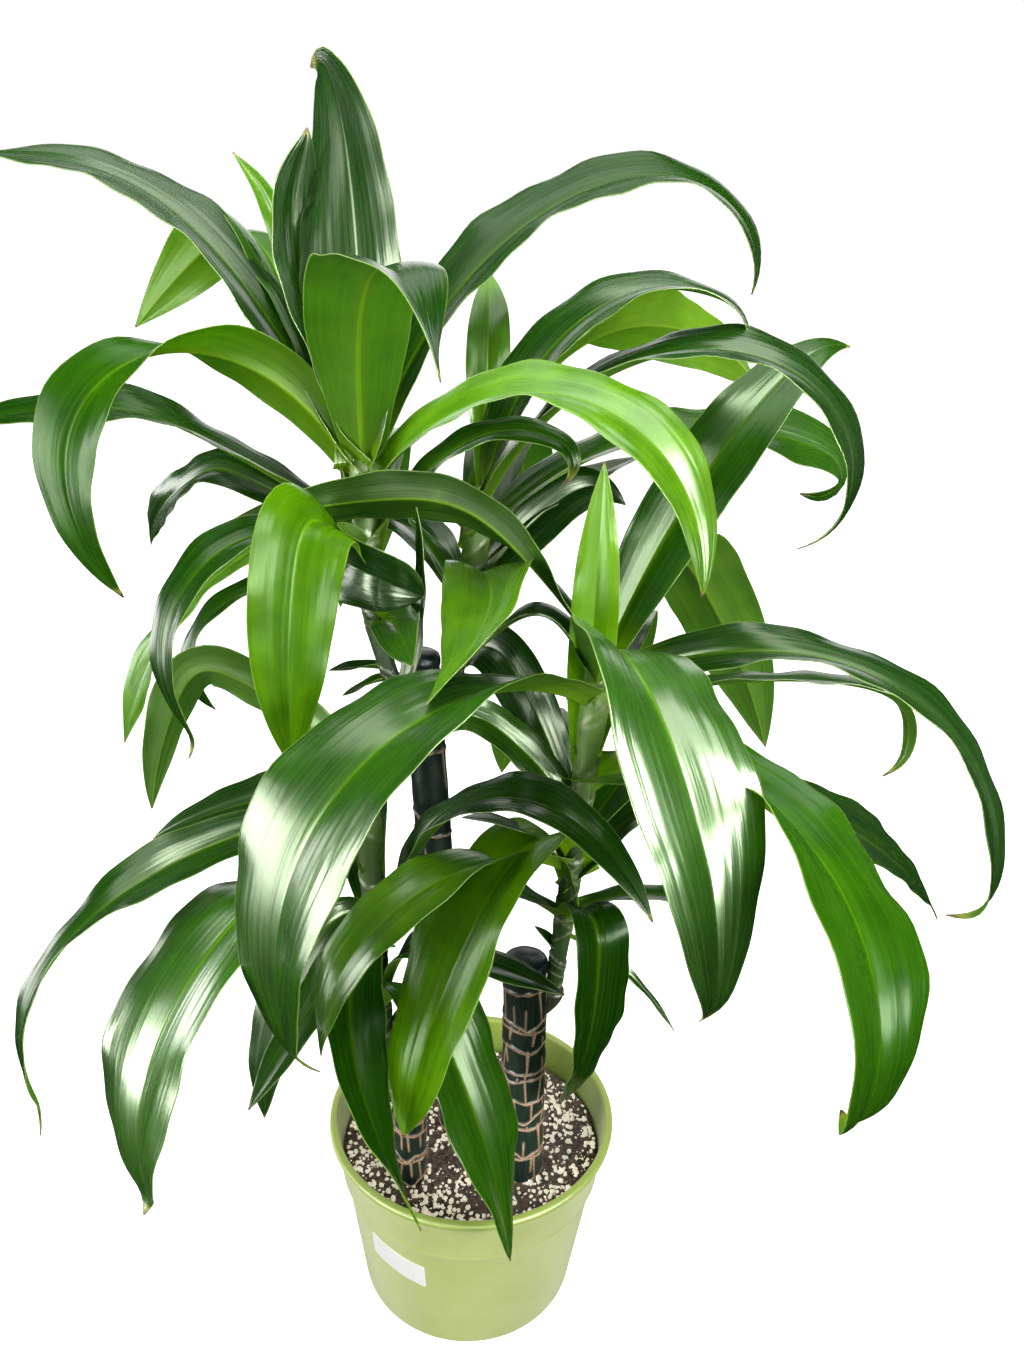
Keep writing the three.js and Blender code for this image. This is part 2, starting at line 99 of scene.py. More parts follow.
# Each leaf: place on the stem, direction it faces, lift and droop, place and span of the
# bend, length and width, sweep, roll, twist and its place; then how young and light its
# upper face is, 0 old and dark to 3 young. After that, only where they aren't usual, come
# its share of a full gloss, how young its underside looks, and the share of the tip that
# dries with how far it curls.
LEAVES = {
    1: (
        (0.72, 90, 89, 0, 0.5, 0.3, 248, 34, 0, 0, 0, 0.5, 3, 0.5),
        (0.97, 40, 64, 75, 0.95, 0.1, 310, 54, -15, 35, 0, 0.5, 0.5, 0.4, 1),
        (0.9, 62, 52, 118, 0.32, 0.06, 440, 70, -25, -25, -20, 0.5, 0),
        (0.95, -20, 32, 130, 0.65, 0.3, 400, 46, -25, 50, -55, 0.3, 0, 1, 1, 0.06, 60),
        (0.9, -5, 24, 130, 0.8, 0.1, 290, 30, 10, -10, 0, 0.5, 0, 1, 1, 0.05, 40),
        (0.93, -95, 58, 150, 0.4, 0.4, 380, 80, 50, -25, 30, 0.5, 1, 2, 2, 0.04, 35),
        (0.75, -50, 36, 180, 0.85, 0.2, 450, 84, -40, 25, -55, 0.35, 1, 0.2, 2, 0.018, 50),
        (0.7, 0, 54, 105, 0.1, 0.1, 470, 52, 45, -15, 55, 0.4, 0, 1, 1, 0.03),
        (0.9, 235, 36, 140, 0.45, 0.3, 460, 84, -45, 15, -45, 0.45, 0.6, 1.05, 1.6, 0.05, 40),
        (1, 176, 53, 72, 0.45, 0.1, 320, 40, -7, -9, 75, 0.25, 0, 0.5, 0.2),
        (0.65, 135, 62, 115, 0.62, 0.1, 250, 42, -10, -50, 0, 0.5, 0),
        (0.65, 180, 62, 110, 0.75, 0.08, 165, 32, 0, -40, 0, 0.5, 1),
        (0.93, 175, 70, 125, 0.5, 0.1, 145, 34, 0, -10, 20, 0.45, 0),
        (0.49, -135, 78, 155, 0.2, 0.1, 310, 84, 10, 15, -20, 0.85, 2.2, 0.3, 3.2),
        (0.51, 223, 41, 131, 0.55, 0.55, 295, 54, -26, 23, -35, 0.45, 2),
        (0.35, -71, 48, 175, 0.25, 0.05, 300, 52, -5, -5, -25, 0.35, 0, 0.2),
        (0.38, 8, 24, 55, 0.4, 0.3, 150, 24, 0, 0, 0, 0.5, 0),
        (0.3, -25, -5, 45, 0.4, 0.3, 118, 9, 0, 0, 0, 0.5, 0),
        (0.35, 205, 46, 30, 0.5, 0.3, 110, 30, 0, 0, 0, 0.5, 0),
        (0.2, 180, 60, 10, 0.5, 0.3, 35, 12, 0, 0, 0, 0.5, 0),
        (0.45, 20, 60, 60, 0.5, 0.3, 170, 40, 0, 0, 0, 0.5, 0),
        (0.4, 208, 79, 62, 0.5, 0.3, 145, 36, -1, 3, 0, 0.5, 0),
        (0.55, 35, 60, 60, 0.5, 0.3, 180, 42, 0, 0, 0, 0.5, 1),
        (0.8, 78, 50, 120, 0.45, 0.3, 330, 60, 0, 0, 0, 0.5, 0),
        (0.58, 105, 45, 110, 0.45, 0.3, 290, 54, 0, 0, 0, 0.5, 0),
    ),
    2: (
        (1, 130, 92, 45, 0.85, 0.1, 275, 76, 5, -65, -25, 0.7, 0, 1, 1, 0.04, 80),
        (1, 165, 62, -55, 0.8, 0.25, 225, 62, 5, -5, -30, 0.8, 0, 1, 1, 0.03, 20),
        (0.97, -90, 64, 120, 0.8, 0.3, 335, 66, 30, 0, -60, 0.85, 0, 0.5, 0.8),
        (1, 165, 72, 35, 0.85, 0.05, 228, 20, -20, -60, 0, 0.5, 2),
        (0.95, 160, 60, 60, 0.65, 0.2, 380, 64, 5, -5, -20, 0.75, 0),
        (0.85, 130, 67, 108, 0.6, 0.05, 394, 60, 20, 8, 63, 0.7, 1, 0.4),
        (0.93, 195, 66, 190, 0.55, 0.3, 375, 54, 10, 65, -115, 0.45, 0.7, 0.2, 1.5, 0.03),
        (0.8, 170, 30, 42, 0.55, 0.1, 340, 46, 5, 10, -40, 0.5, 0, 0.4),
        (0.8, 165, 18, 55, 0.4, 0.05, 345, 34, -55, -40, -60, 0.6, 0, 0.5),
        (0.97, 50, 68, 170, 0.95, 0.25, 445, 66, -60, 5, 15, 0.45, 0, 0.3, 2),
        (0.45, -112, 64, 161, 0.45, 0.05, 310, 60, 7, -37, 0, 0.5, 2, 0.2),
        (0.55, 228, 66, 190, 0.5, 0.4, 310, 40, -15, -5, 0, 0.5, 0, 0.4, 1, 0.04, -60),
        (0.5, 195, 36, 170, 0.8, 0.45, 210, 34, 5, 0, -50, 0.8, 0, 0.4),
        (0.6, 180, 82, 155, 0.1, 0.15, 335, 50, -25, -30, -45, 0.75, 2, 0.4),
        (0.7, 220, 22, 50, 0.5, 0.2, 115, 56, 185, 30, 70, 0.3, 0),
        (0.45, -68, 30, 45, 0.45, 0.25, 118, 34, -5, 15, 40, 0.7, 1),
        (0.22, 190, 10, 20, 0.5, 0.3, 45, 14, 0, 0, 0, 0.5, 0),
        (0.16, 200, -5, 20, 0.5, 0.3, 40, 12, 0, 0, 0, 0.5, 1),
        (0.92, -24, 54, 145, 0.85, 0.55, 350, 62, -14, 38, -25, 0.3, 2),
        (0.75, -21, 60, 103, 0.75, 0.25, 220, 26, 1, 34, 0, 0.5, 1, 1, 2, 0.09, 90),
        (0.72, 95, 52, 130, 0.45, 0.3, 340, 60, 0, 0, 0, 0.5, 0),
        (0.5, 120, 40, 109, 0.45, 0.3, 270, 48, 1, 0, 0, 0.5, 0),
    ),
    3: (
        (1, 85, 76, 50, 0.5, 0.3, 200, 32, 10, 40, -40, 0.4, 2, 1, 2),
        (0.97, -5, 80, 120, 0.7, 0.3, 295, 54, -5, 35, -30, 0.6, 0, 1, 1, 0.09, 60),
        (0.95, 35, 76, 105, 0.25, 0.25, 455, 56, 25, -25, -75, 0.5, 1, 0.6, 2, 0.05, 30),
        (0.93, -20, 68, 205, 0.95, 0.45, 410, 52, 10, 10, 10, 0.55, 0, 1, 1, 0.06, 20),
        (0.6, 20, 58, 100, 0.8, 0.1, 162, 44, 0, 45, 0, 0.5, 0),
        (0.7, 35, 46, 35, 0.4, 0.3, 178, 36, 0, 0, 0, 0.5, 0),
        (0.49, -50, 71, 99, 0.25, 0.05, 220, 66, -81, -12, 50, 0.4, 2),
        (0.85, 17, 47, 240, 0.9, 0.05, 365, 64, -4, 1, 45, 0.65, 1),
        (0.5, 170, 70, 20, 0.5, 0.3, 90, 30, 0, 0, 0, 0.5, 1),
        (0.8, 80, 50, 125, 0.45, 0.3, 330, 56, 0, 0, 0, 0.5, 0),
        (0.55, 125, 42, 110, 0.45, 0.3, 280, 50, 0, 0, 0, 0.5, 0),
    ),
    4: (
        (0.9, 205, 10, 125, 0.75, 0.15, 375, 40, 50, -30, 65, 0.5, 0, 0.6, 1, 0.05, -40),
        (0.83, 234, 13, 120, 0.65, 0.6, 355, 84, 0, 55, -50, 0.3, 1, 2, 2, 0.03, -50),
        (0.9, 175, 38, 70, 0.15, 0.1, 184, 42, 0, -25, 0, 0.5, 0),
        (0.44, -115, 80, 135, 0.1, 0.05, 260, 50, 85, -30, -30, 0.75, 0, 0.1, 1, 0.03),
        (0.5, 212, 62, 153, 0.15, 0.06, 228, 42, 0, -30, 0, 0.5, 0),
        (0.41, 251, 36, 79, 0.34, 0.05, 180, 32, -20, -1, 0, 0.5, 1),
        (0.2, -55, 58, 140, 0.25, 0.05, 308, 76, 25, -10, -10, 0.7, 1, 0.45),
        (1, 183, 53, 135, 0.55, 0.05, 265, 40, 7, 79, -25, 0.5, 0),
        (1, 28, 62, -36, 0.55, 0.3, 210, 22, 2, 3, 0, 0.5, 0),
        (0.2, -20, 79, 92, 0.35, 0.06, 200, 38, 0, 0, 0, 0.5, 0),
        (0.26, -18, 88, 141, 0.7, 0.25, 390, 52, -21, 26, -20, 0.45, 0),
        (0.7, 105, 50, 120, 0.45, 0.3, 290, 52, 0, 0, 0, 0.5, 0),
        (0.5, 110, 45, 110, 0.45, 0.3, 250, 46, 0, 0, 0, 0.5, 0),
    ),
}
USUAL_GLOSS, USUAL_DRY, USUAL_CURL = 1, 0.018, 0

CAMERA = Sizes(
    place=(20, -755, 908), focal=1100, frame_height=1349, pitch=22.7, roll=-2.3,
    sensor=36,
)


# ---- meshes ----

def make_piece(name, points, faces, material, nodes=(), fields=None, smooth=True):
    """A mesh object from points in millimetres, riding on the part's one body."""
    mesh = bpy.data.meshes.new(name)
    mesh.from_pydata((np.asarray(points, float) * MM).tolist(), [], faces)
    for key, values in (fields or {}).items():
        values = np.asarray(values, np.float32)
        kind = "FLOAT" if values.ndim == 1 else "FLOAT_VECTOR"
        layer = mesh.attributes.new(key, kind, "POINT")
        layer.data.foreach_set("value" if values.ndim == 1 else "vector", values.ravel())
    mesh.polygons.foreach_set("use_smooth", [smooth] * len(mesh.polygons))
    mesh.materials.append(material)
    mesh.update()
    piece = add_object(name, mesh)
    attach(piece, "root")
    if nodes:
        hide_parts(*nodes)
    return piece


def add_object(name, data):
    added = bpy.data.objects.new(name, data)
    bpy.context.scene.collection.objects.link(added)
    return added


def ring_angles(count):
    return np.linspace(0, 2 * math.pi, count, endpoint=False)


def tube_faces(rows, size):
    """Faces of a closed tube of rows, each a ring of size points, outside facing out when
    the ring runs anticlockwise seen from the last row."""
    faces = []
    for row in range(rows - 1):
        a = row * size
        for k in range(size):
            n = (k + 1) % size
            faces.append((a + k, a + n, a + size + n, a + size + k))
    faces.append(tuple(reversed(range(size))))
    faces.append(tuple((rows - 1) * size + k for k in range(size)))
    return faces


def wave_noise(points, scale, seed):
    """Smooth noise from -1 to 1 at each point; scale is the size of its lumps in mm."""
    shift = Vector((seed * 13.7, seed * 7.1, seed * 3.3))
    return np.array([noise.noise(Vector(p) / scale + shift) for p in points])


def smooth_step(low, high, value):
    t = np.clip((value - low) / (high - low), 0, 1)
    return t * t * (3 - 2 * t)


# ---- node graphs ----

class Graph:
    """The nodes of a material or world, with short calls for the few kinds in use."""

    def __init__(self, owner, shader):
        owner.use_nodes = True
        self.owner = owner
        self.nodes = owner.node_tree.nodes
        self.links = owner.node_tree.links
        self.shader = self.nodes[shader]

    def put(self, socket, value):
        if isinstance(value, bpy.types.NodeSocket):
            self.links.new(value, socket)
        elif value is not None:
            socket.default_value = value

    def math(self, operation, a, b=None, clamp=False):
        node = self.nodes.new("ShaderNodeMath")
        node.operation = operation
        node.use_clamp = clamp
        for socket, value in zip(node.inputs, (a, b)):
            self.put(socket, value)
        return node.outputs[0]

    def times(self, a, b, clamp=False):
        return self.math("MULTIPLY", a, b, clamp=clamp)

    def plus(self, a, b, clamp=False):
        return self.math("ADD", a, b, clamp=clamp)

    def centred(self, noise_value, reach):
        """Noise that runs round 0.5, moved to lie round zero and scaled."""
        return self.times(self.math("SUBTRACT", noise_value, 0.5), reach)

    def step(self, value, low, high, start=0.0, end=1.0):
        """From start to end as value goes from low to high, eased at both ends."""
        node = self.nodes.new("ShaderNodeMapRange")
        node.interpolation_type = "SMOOTHSTEP"
        for socket, number in zip(node.inputs, (value, low, high, start, end)):
            self.put(socket, number)
        return node.outputs[0]

    def mix(self, share, a, b):
        node = self.nodes.new("ShaderNodeMix")
        node.data_type = "RGBA"
        self.put(node.inputs["Factor"], share)
        self.put(node.inputs[6], colour(a))
        self.put(node.inputs[7], colour(b))
        return node.outputs[2]

    def tint(self, skin, tone, share, most):
        """The skin with up to the most of another tone, where the share is 1."""
        return self.mix(self.times(share, most), skin, tone)

    def field(self, name):
        node = self.nodes.new("ShaderNodeAttribute")
        node.attribute_name = name
        return node

    def split(self, vector):
        node = self.nodes.new("ShaderNodeSeparateXYZ")
        self.put(node.inputs[0], vector)
        return node.outputs

    def join(self, x, y, z):
        node = self.nodes.new("ShaderNodeCombineXYZ")
        for socket, value in zip(node.inputs, (x, y, z)):
            self.put(socket, value)
        return node.outputs[0]

    def place(self):
        return self.nodes.new("ShaderNodeTexCoord").outputs["Object"]

    def stretched(self, across, upright):
        """Object coordinates scaled apart, for streaks that run up a stem or a cane."""
        x, y, z = self.split(self.place())
        return self.join(self.times(x, across), self.times(y, across),
                         self.times(z, upright))

    def noise(self, vector, scale, detail=3.0, rough=0.5):
        node = self.nodes.new("ShaderNodeTexNoise")
        for key, value in (("Vector", vector), ("Scale", scale), ("Detail", detail),
                           ("Roughness", rough)):
            self.put(node.inputs[key], value)
        return node.outputs["Fac"]

    def bump(self, height, strength, distance, below=None):
        node = self.nodes.new("ShaderNodeBump")
        self.put(node.inputs["Strength"], strength)
        self.put(node.inputs["Distance"], distance)
        self.put(node.inputs["Height"], height)
        if below is not None:
            self.put(node.inputs["Normal"], below)
        return node.outputs[0]

    def finish(self, **sockets):
        for key, value in sockets.items():
            self.put(self.shader.inputs[key.replace("_", " ")], value)
        return self.owner


def material_graph(name):
    return Graph(bpy.data.materials.new(name), "Principled BSDF")


def colour(value):
    return (*value, 1.0) if isinstance(value, tuple) and len(value) == 3 else value


# ---- materials ----

def leaf_material():
    """Glossy upper face with fine lengthwise veins, light midrib and margin, matt lighter
    underside and dried tips. leaf_place holds across, along and youth; leaf_mm the mm
    from the midrib at full width, the mm along and the half width; leaf_state the
    underside, the dried share and the leaf's own number; leaf_gloss its share of gloss."""
    g = material_graph("leaf_blade")
    across, along, youth = g.split(g.field("leaf_place").outputs["Vector"])
    vein, run, half = g.split(g.field("leaf_mm").outputs["Vector"])
    under, dry, seed = g.split(g.field("leaf_state").outputs["Vector"])
    off_rib = g.times(g.math("ABSOLUTE", across), half)
    off_edge = g.math("SUBTRACT", half, off_rib)

    shifted = g.plus(vein, g.times(seed, 900.0))

    def streaks(across_scale, run_scale, detail):
        place = g.join(g.times(shifted, across_scale), g.times(run, run_scale), seed)
        return g.noise(place, 1.0, detail)

    fine = streaks(1.1, 0.010, 2.0)
    broad = streaks(0.3, 0.007, 2.0)
    pleat = streaks(0.11, 0.006, 1.0)
    blotch = g.noise(g.join(shifted, run, seed), 0.035, 3.0)

    young = youth
    for pattern, reach in ((broad, 0.13), (pleat, 0.18), (blotch, 0.4)):
        young = g.plus(young, g.centred(pattern, reach))
    old_green = g.mix(g.step(young, 0.0, 0.5), DARK_GREEN, MID_GREEN)
    green = g.mix(g.step(young, 0.4, 1.05), old_green, YOUNG_GREEN)
    fine_share = g.step(fine, 0.38, 0.66)
    green = g.tint(green, LIGHT_GREEN, fine_share, 0.1)

    # the midrib and the lighter zone beside it fade towards the tip
    fade = g.step(along, 0.15, 0.95, 1.0, 0.12)
    zone = g.times(g.step(off_rib, 1.5, 9.0, 1.0, 0.0), fade)
    shown = g.step(youth, 0.0, 0.6, 0.3, 1.0)
    zone = g.times(zone, shown)
    green = g.tint(green, LIGHT_GREEN, zone, 0.4)
    rib_width = g.step(along, 0.0, 1.0, 2.6, 0.8)
    rib = g.step(g.math("DIVIDE", off_rib, rib_width), 0.45, 1.0, 1.0, 0.0)
    rib_shown = g.times(g.times(rib, fade), shown)
    green = g.tint(green, RIB_GREEN, rib_shown, 0.65)
    base = g.step(along, 0.0, 0.17, 0.75, 0.0)
    green = g.mix(base, green, BASE_GREEN)

    below = g.mix(g.step(young, 0.1, 1.0), UNDER_GREEN, UNDER_YOUNG)
    below = g.mix(g.step(young, 0.08, 0.2), UNDER_DARK, below)
    below = g.tint(below, UNDER_YOUNG, fine_share, 0.15)
    below = g.tint(below, UNDER_YOUNG, zone, 0.35)
    below = g.tint(below, RIB_GREEN, rib, 0.7)
    below = g.tint(below, BASE_GREEN, base, 0.7)
    skin = g.mix(under, green, below)

    margin = g.step(off_edge, 0.1, 0.7, 0.55, 0.0)
    skin = g.mix(margin, skin, MARGIN_GREEN)
    specks = g.step(g.noise(g.join(shifted, run, 3.0), 0.55, 2.0), 0.73, 0.8)
    skin = g.tint(skin, SPECK, specks, 0.3)

    ragged = g.plus(dry, g.centred(fine, 0.6))
    skin = g.mix(g.step(ragged, 0.1, 0.7, 0.0, 0.8), skin, YELLOWED)
    skin = g.mix(g.step(ragged, 0.6, 0.8), skin, DRIED)
    skin = g.mix(g.step(ragged, 0.85, 1.05), skin, DRIED_TIP)
    dried = g.step(ragged, 0.5, 0.8)

    rough = g.plus(0.2, g.times(fine, 0.14))
    rough = g.plus(rough, g.times(under, 0.17))
    rough = g.plus(rough, g.times(dried, 0.3), clamp=True)
    ribs = g.bump(fine, 0.22, 0.00025)
    folds = g.bump(broad, 0.3, 0.0009, ribs)
    pleats = g.bump(pleat, 0.5, 0.0022, folds)
    wrinkles = g.bump(g.times(blotch, g.plus(dried, 0.3)), 0.5, 0.0012, pleats)
    gloss = g.times(g.field("leaf_gloss").outputs["Fac"], 0.45, clamp=True)
    return g.finish(Base_Color=skin, Roughness=rough, Normal=wrinkles, Specular_IOR_Level=gloss,
                    Specular_Tint=(0.88, 1.0, 0.74, 1.0), Subsurface_Weight=0.3,
                    Subsurface_Radius=(0.5, 1.0, 0.1), Subsurface_Scale=0.0025)


DARK_GREEN = (0.004, 0.033, 0.0005)
MID_GREEN = (0.025, 0.11, 0.0005)
LIGHT_GREEN = (0.08, 0.26, 0.001)
YOUNG_GREEN = (0.17, 0.4, 0.0005)
RIB_GREEN = (0.2, 0.42, 0.003)
BASE_GREEN = (0.2, 0.38, 0.001)
UNDER_DARK = (0.012, 0.055, 0.001)
UNDER_GREEN = (0.05, 0.16, 0.001)
UNDER_YOUNG = (0.16, 0.34, 0.001)
MARGIN_GREEN = (0.32, 0.46, 0.1)
SPECK = (0.3, 0.4, 0.22)
YELLOWED = (0.42, 0.4, 0.04)
DRIED = (0.16, 0.085, 0.035)
DRIED_TIP = (0.27, 0.2, 0.13)
SHEATH_DARK, SHEATH_LIGHT = (0.025, 0.07, 0.012), (0.06, 0.14, 0.025)
SHEATH_YOUNG, SHEATH_EDGE = (0.2, 0.38, 0.04), (0.28, 0.34, 0.14)
SHEATH_STAIN, STEM_FOOT = (0.03, 0.05, 0.02), (0.07, 0.05, 0.03)
BARK_DARK, BARK_LIGHT, BARK_MOSS = (0.004, 0.016, 0.01), (0.012, 0.038, 0.024), (0.02, 0.055, 0.02)
CORK_DARK, CORK_LIGHT = (0.3, 0.16, 0.09), (0.72, 0.46, 0.29)
WAX_DARK, WAX_LIGHT, WAX_DUST = (0.003, 0.009, 0.01), (0.008, 0.022, 0.024), (0.2, 0.2, 0.18)


def stem_material():
    """Olive sheaths around the shoot's stem, with thin pale edges and a brown foot."""
    g = material_graph("stem_sheath")
    high, edge, light = g.split(g.field("stem_place").outputs["Vector"])
    streak = g.noise(g.stretched(900.0, 22.0), 1.0, 3.0)
    patch = g.noise(g.place(), 60.0, 3.0)
    skin = g.mix(g.step(streak, 0.3, 0.7), SHEATH_DARK, SHEATH_LIGHT)
    skin = g.tint(skin, SHEATH_YOUNG, light, 0.9)
    skin = g.tint(skin, SHEATH_STAIN, g.step(patch, 0.5, 0.75), 0.4)
    skin = g.tint(skin, SHEATH_EDGE, edge, 0.65)
    skin = g.mix(g.step(high, 3.0, 26.0, 0.75, 0.0), skin, STEM_FOOT)
    bumps = g.bump(streak, 0.4, 0.0006)
    return g.finish(Base_Color=skin, Roughness=0.42, Normal=bumps)


def cane_material():
    """Dark glossy bark with thin raised tan lines: the leaf scars, and the cracks between
    them. cane_line holds the mm from the nearest line's edge, below 0 on the line."""
    g = material_graph("cane_bark")
    line = g.field("cane_line").outputs["Fac"]
    streak = g.noise(g.stretched(700.0, 60.0), 1.0, 4.0)
    patch = g.noise(g.stretched(110.0, 45.0), 1.0, 3.0)
    flecks = g.noise(g.place(), 900.0, 2.0)
    bark = g.mix(g.step(streak, 0.35, 0.7), BARK_DARK, BARK_LIGHT)
    bark = g.tint(bark, BARK_MOSS, g.step(patch, 0.5, 0.72), 0.5)
    frayed = g.plus(line, g.centred(flecks, 0.9))
    tan = g.step(frayed, -0.15, 0.35, 1.0, 0.0)
    cork = g.mix(g.step(flecks, 0.3, 0.7), CORK_DARK, CORK_LIGHT)
    bark = g.tint(bark, cork, g.step(frayed, 0.2, 1.3, 1.0, 0.0), 0.35)
    bark = g.mix(tan, bark, cork)
    rough = g.plus(0.36, g.times(tan, 0.5), clamp=True)
    grain = g.bump(streak, 0.25, 0.0004, g.bump(tan, 0.5, 0.0005))
    return g.finish(Base_Color=bark, Roughness=rough, Normal=grain,
                    Specular_IOR_Level=0.3)


def wax_material():
    g = material_graph("sealing_wax")
    lumps = g.noise(g.place(), 120.0, 3.0)
    skin = g.mix(g.step(lumps, 0.35, 0.7), WAX_DARK, WAX_LIGHT)
    dust = g.step(g.noise(g.place(), 900.0, 2.0), 0.68, 0.78)
    skin = g.tint(skin, WAX_DUST, dust, 0.1)
    return g.finish(Base_Color=skin, Roughness=g.step(lumps, 0.2, 0.8, 0.25, 0.42),
                    Normal=g.bump(lumps, 0.5, 0.001), Specular_IOR_Level=0.25)


def pot_material():
    """Satin olive-green plastic: faint mottling, scuffs near the foot and dust inside. The inside
    wall is darker, as painted shade.
    The pale tint along its outline is a painted rim light that follows the view, so an exported
    model hasn't got it."""
    g = material_graph("pot_plastic")
    place = g.place()
    x, y, z = g.split(place)
    mottle = g.noise(place, 22.0, 4.0)
    grain = g.noise(place, 1400.0, 2.0)
    flow = g.noise(g.join(x, y, g.times(z, 0.12)), 90.0, 3.0)
    skin = g.mix(g.step(mottle, 0.3, 0.7), POT_GREEN, POT_PALE)
    skin = g.tint(skin, POT_FLOW, g.step(flow, 0.55, 0.75), 0.18)
    inner = g.field("pot_inside").outputs["Fac"]
    # painted shade: the inside wall is darker than the outside
    skin = g.mix(inner, skin, POT_INSIDE_SHADE)
    lip = g.field("pot_lip").outputs["Fac"]
    skin = g.tint(skin, POT_LIP, lip, 0.75)
    low = g.step(z, 0.0, 0.03, 1.0, 0.0)
    scuff = g.step(g.noise(place, 260.0, 4.0), 0.56, 0.7)
    scuffed = g.times(scuff, g.plus(g.times(low, 0.35), 0.05))
    skin = g.mix(scuffed, skin, POT_SCUFF)
    # painted rim light: the outline is tinted pale by the view angle
    grazed = g.nodes.new("ShaderNodeLayerWeight").outputs["Facing"]
    skin = g.mix(g.step(grazed, 0.35, 1.0, 0.0, 0.6), skin, POT_PAINTED_RIM_LIGHT)
    dust = g.step(g.noise(place, 420.0, 3.0), 0.6, 0.72)
    skin = g.tint(skin, POT_DUST, g.times(dust, inner), 0.5)
    rough = g.plus(0.38, g.times(mottle, 0.14))
    rough = g.plus(rough, g.times(scuffed, 0.4), clamp=True)
    fine = g.bump(grain, 0.12, 0.0001)
    return g.finish(Base_Color=skin, Roughness=rough, Normal=g.bump(flow, 0.12, 0.0005, fine),
                    Specular_IOR_Level=0.4)


POT_GREEN = (0.46, 0.54, 0.15)
POT_PALE = (0.52, 0.6, 0.2)
# painted shade for the pot's inside wall
POT_INSIDE_SHADE = (0.15, 0.23, 0.03)
POT_PAINTED_RIM_LIGHT = (0.85, 0.9, 0.62)  # painted rim light: a pale tint along the pot's outline, set by the view
POT_LIP = (0.33, 0.46, 0.05)
POT_FLOW, POT_SCUFF, POT_DUST = (0.5, 0.56, 0.3), (0.55, 0.56, 0.42), (0.08, 0.055, 0.035)
SOIL_DARK, SOIL_LIGHT = (0.022, 0.011, 0.007), (0.16, 0.085, 0.05)
SOIL_FIBRE, SOIL_CRUMB = (0.36, 0.2, 0.12), (0.5, 0.43, 0.33)


def soil_material():
    g = material_graph("potting_mix")
    place = g.place()
    clods = g.noise(place, 160.0, 5.0, 0.65)
    fibres = g.noise(place, 700.0, 4.0, 0.7)
    skin = g.mix(g.step(clods, 0.35, 0.65), SOIL_DARK, SOIL_LIGHT)
    skin = g.tint(skin, SOIL_FIBRE, g.step(fibres, 0.52, 0.72), 0.7)
    crumbs = g.step(g.noise(place, 1500.0, 2.0), 0.68, 0.74)
    skin = g.tint(skin, SOIL_CRUMB, crumbs, 0.75)
    rough = g.bump(clods, 0.9, 0.003)
    return g.finish(Base_Color=skin, Roughness=0.95, Normal=g.bump(fibres, 0.8, 0.0012, rough))


def grain_material(grain):
    """Small loose grains: a mottled matt colour with a pitted surface. Perlite also has a faint
    painted glow, an emission that keeps its grains bright in the leaves' shade."""
    g = material_graph(grain.material)
    mottle = g.noise(g.place(), 380.0, 3.0)
    pits = g.noise(g.place(), 1800.0, 3.0, 0.7)
    skin = g.mix(g.step(mottle, 0.3, 0.7), grain.dark, grain.light)
    skin = g.tint(skin, grain.dark, g.step(pits, 0.6, 0.75), 0.5)
    # the emission is a painted glow, not a lamp
    return g.finish(Base_Color=skin, Roughness=0.85, Normal=g.bump(pits, 0.7, 0.0004),
                    Emission_Color=skin, Emission_Strength=grain.glow)


def label_material():
    g = material_graph("label_paper")
    tooth = g.noise(g.place(), 1600.0, 3.0)
    mottle = g.noise(g.place(), 60.0, 2.0)
    skin = g.mix(mottle, (0.86, 0.86, 0.83), (0.92, 0.92, 0.9))
    rough = g.step(tooth, 0.2, 0.8, 0.45, 0.6)
    return g.finish(Base_Color=skin, Roughness=rough, Normal=g.bump(tooth, 0.1, 0.0001))


# ---- leaves ----

def on_stem(points, share):
    a, b, c = (np.array(point, float) for point in points)
    return (1 - share) ** 2 * a + 2 * share * (1 - share) * b + share ** 2 * c


def width_share(s):
    rise = np.sin(math.pi / 2 * np.minimum(s / BLADE.widest, 1))
    low = BLADE.base_share + (1 - BLADE.base_share) * rise ** 1.3
    fall = np.clip((s - BLADE.widest) / (1 - BLADE.widest), 0, 1) ** 1.5
    high = np.maximum(np.cos(math.pi / 2 * fall), 0) ** 0.9
    return np.where(s < BLADE.widest, low, high)


def bend_share(s, place, span):
    def reach(x):
        return np.tanh((x - place) / span)
    return (reach(s) - reach(0.0)) / (reach(1.0) - reach(0.0))


def leaf_looks(leaf):
    """Youth and gloss of the upper face, youth of the underside, dried share and curl."""
    usual = (USUAL_GLOSS, min(leaf[12] + 1, 3), USUAL_DRY, USUAL_CURL)
    return leaf[12:] + usual[len(leaf) - 13:]


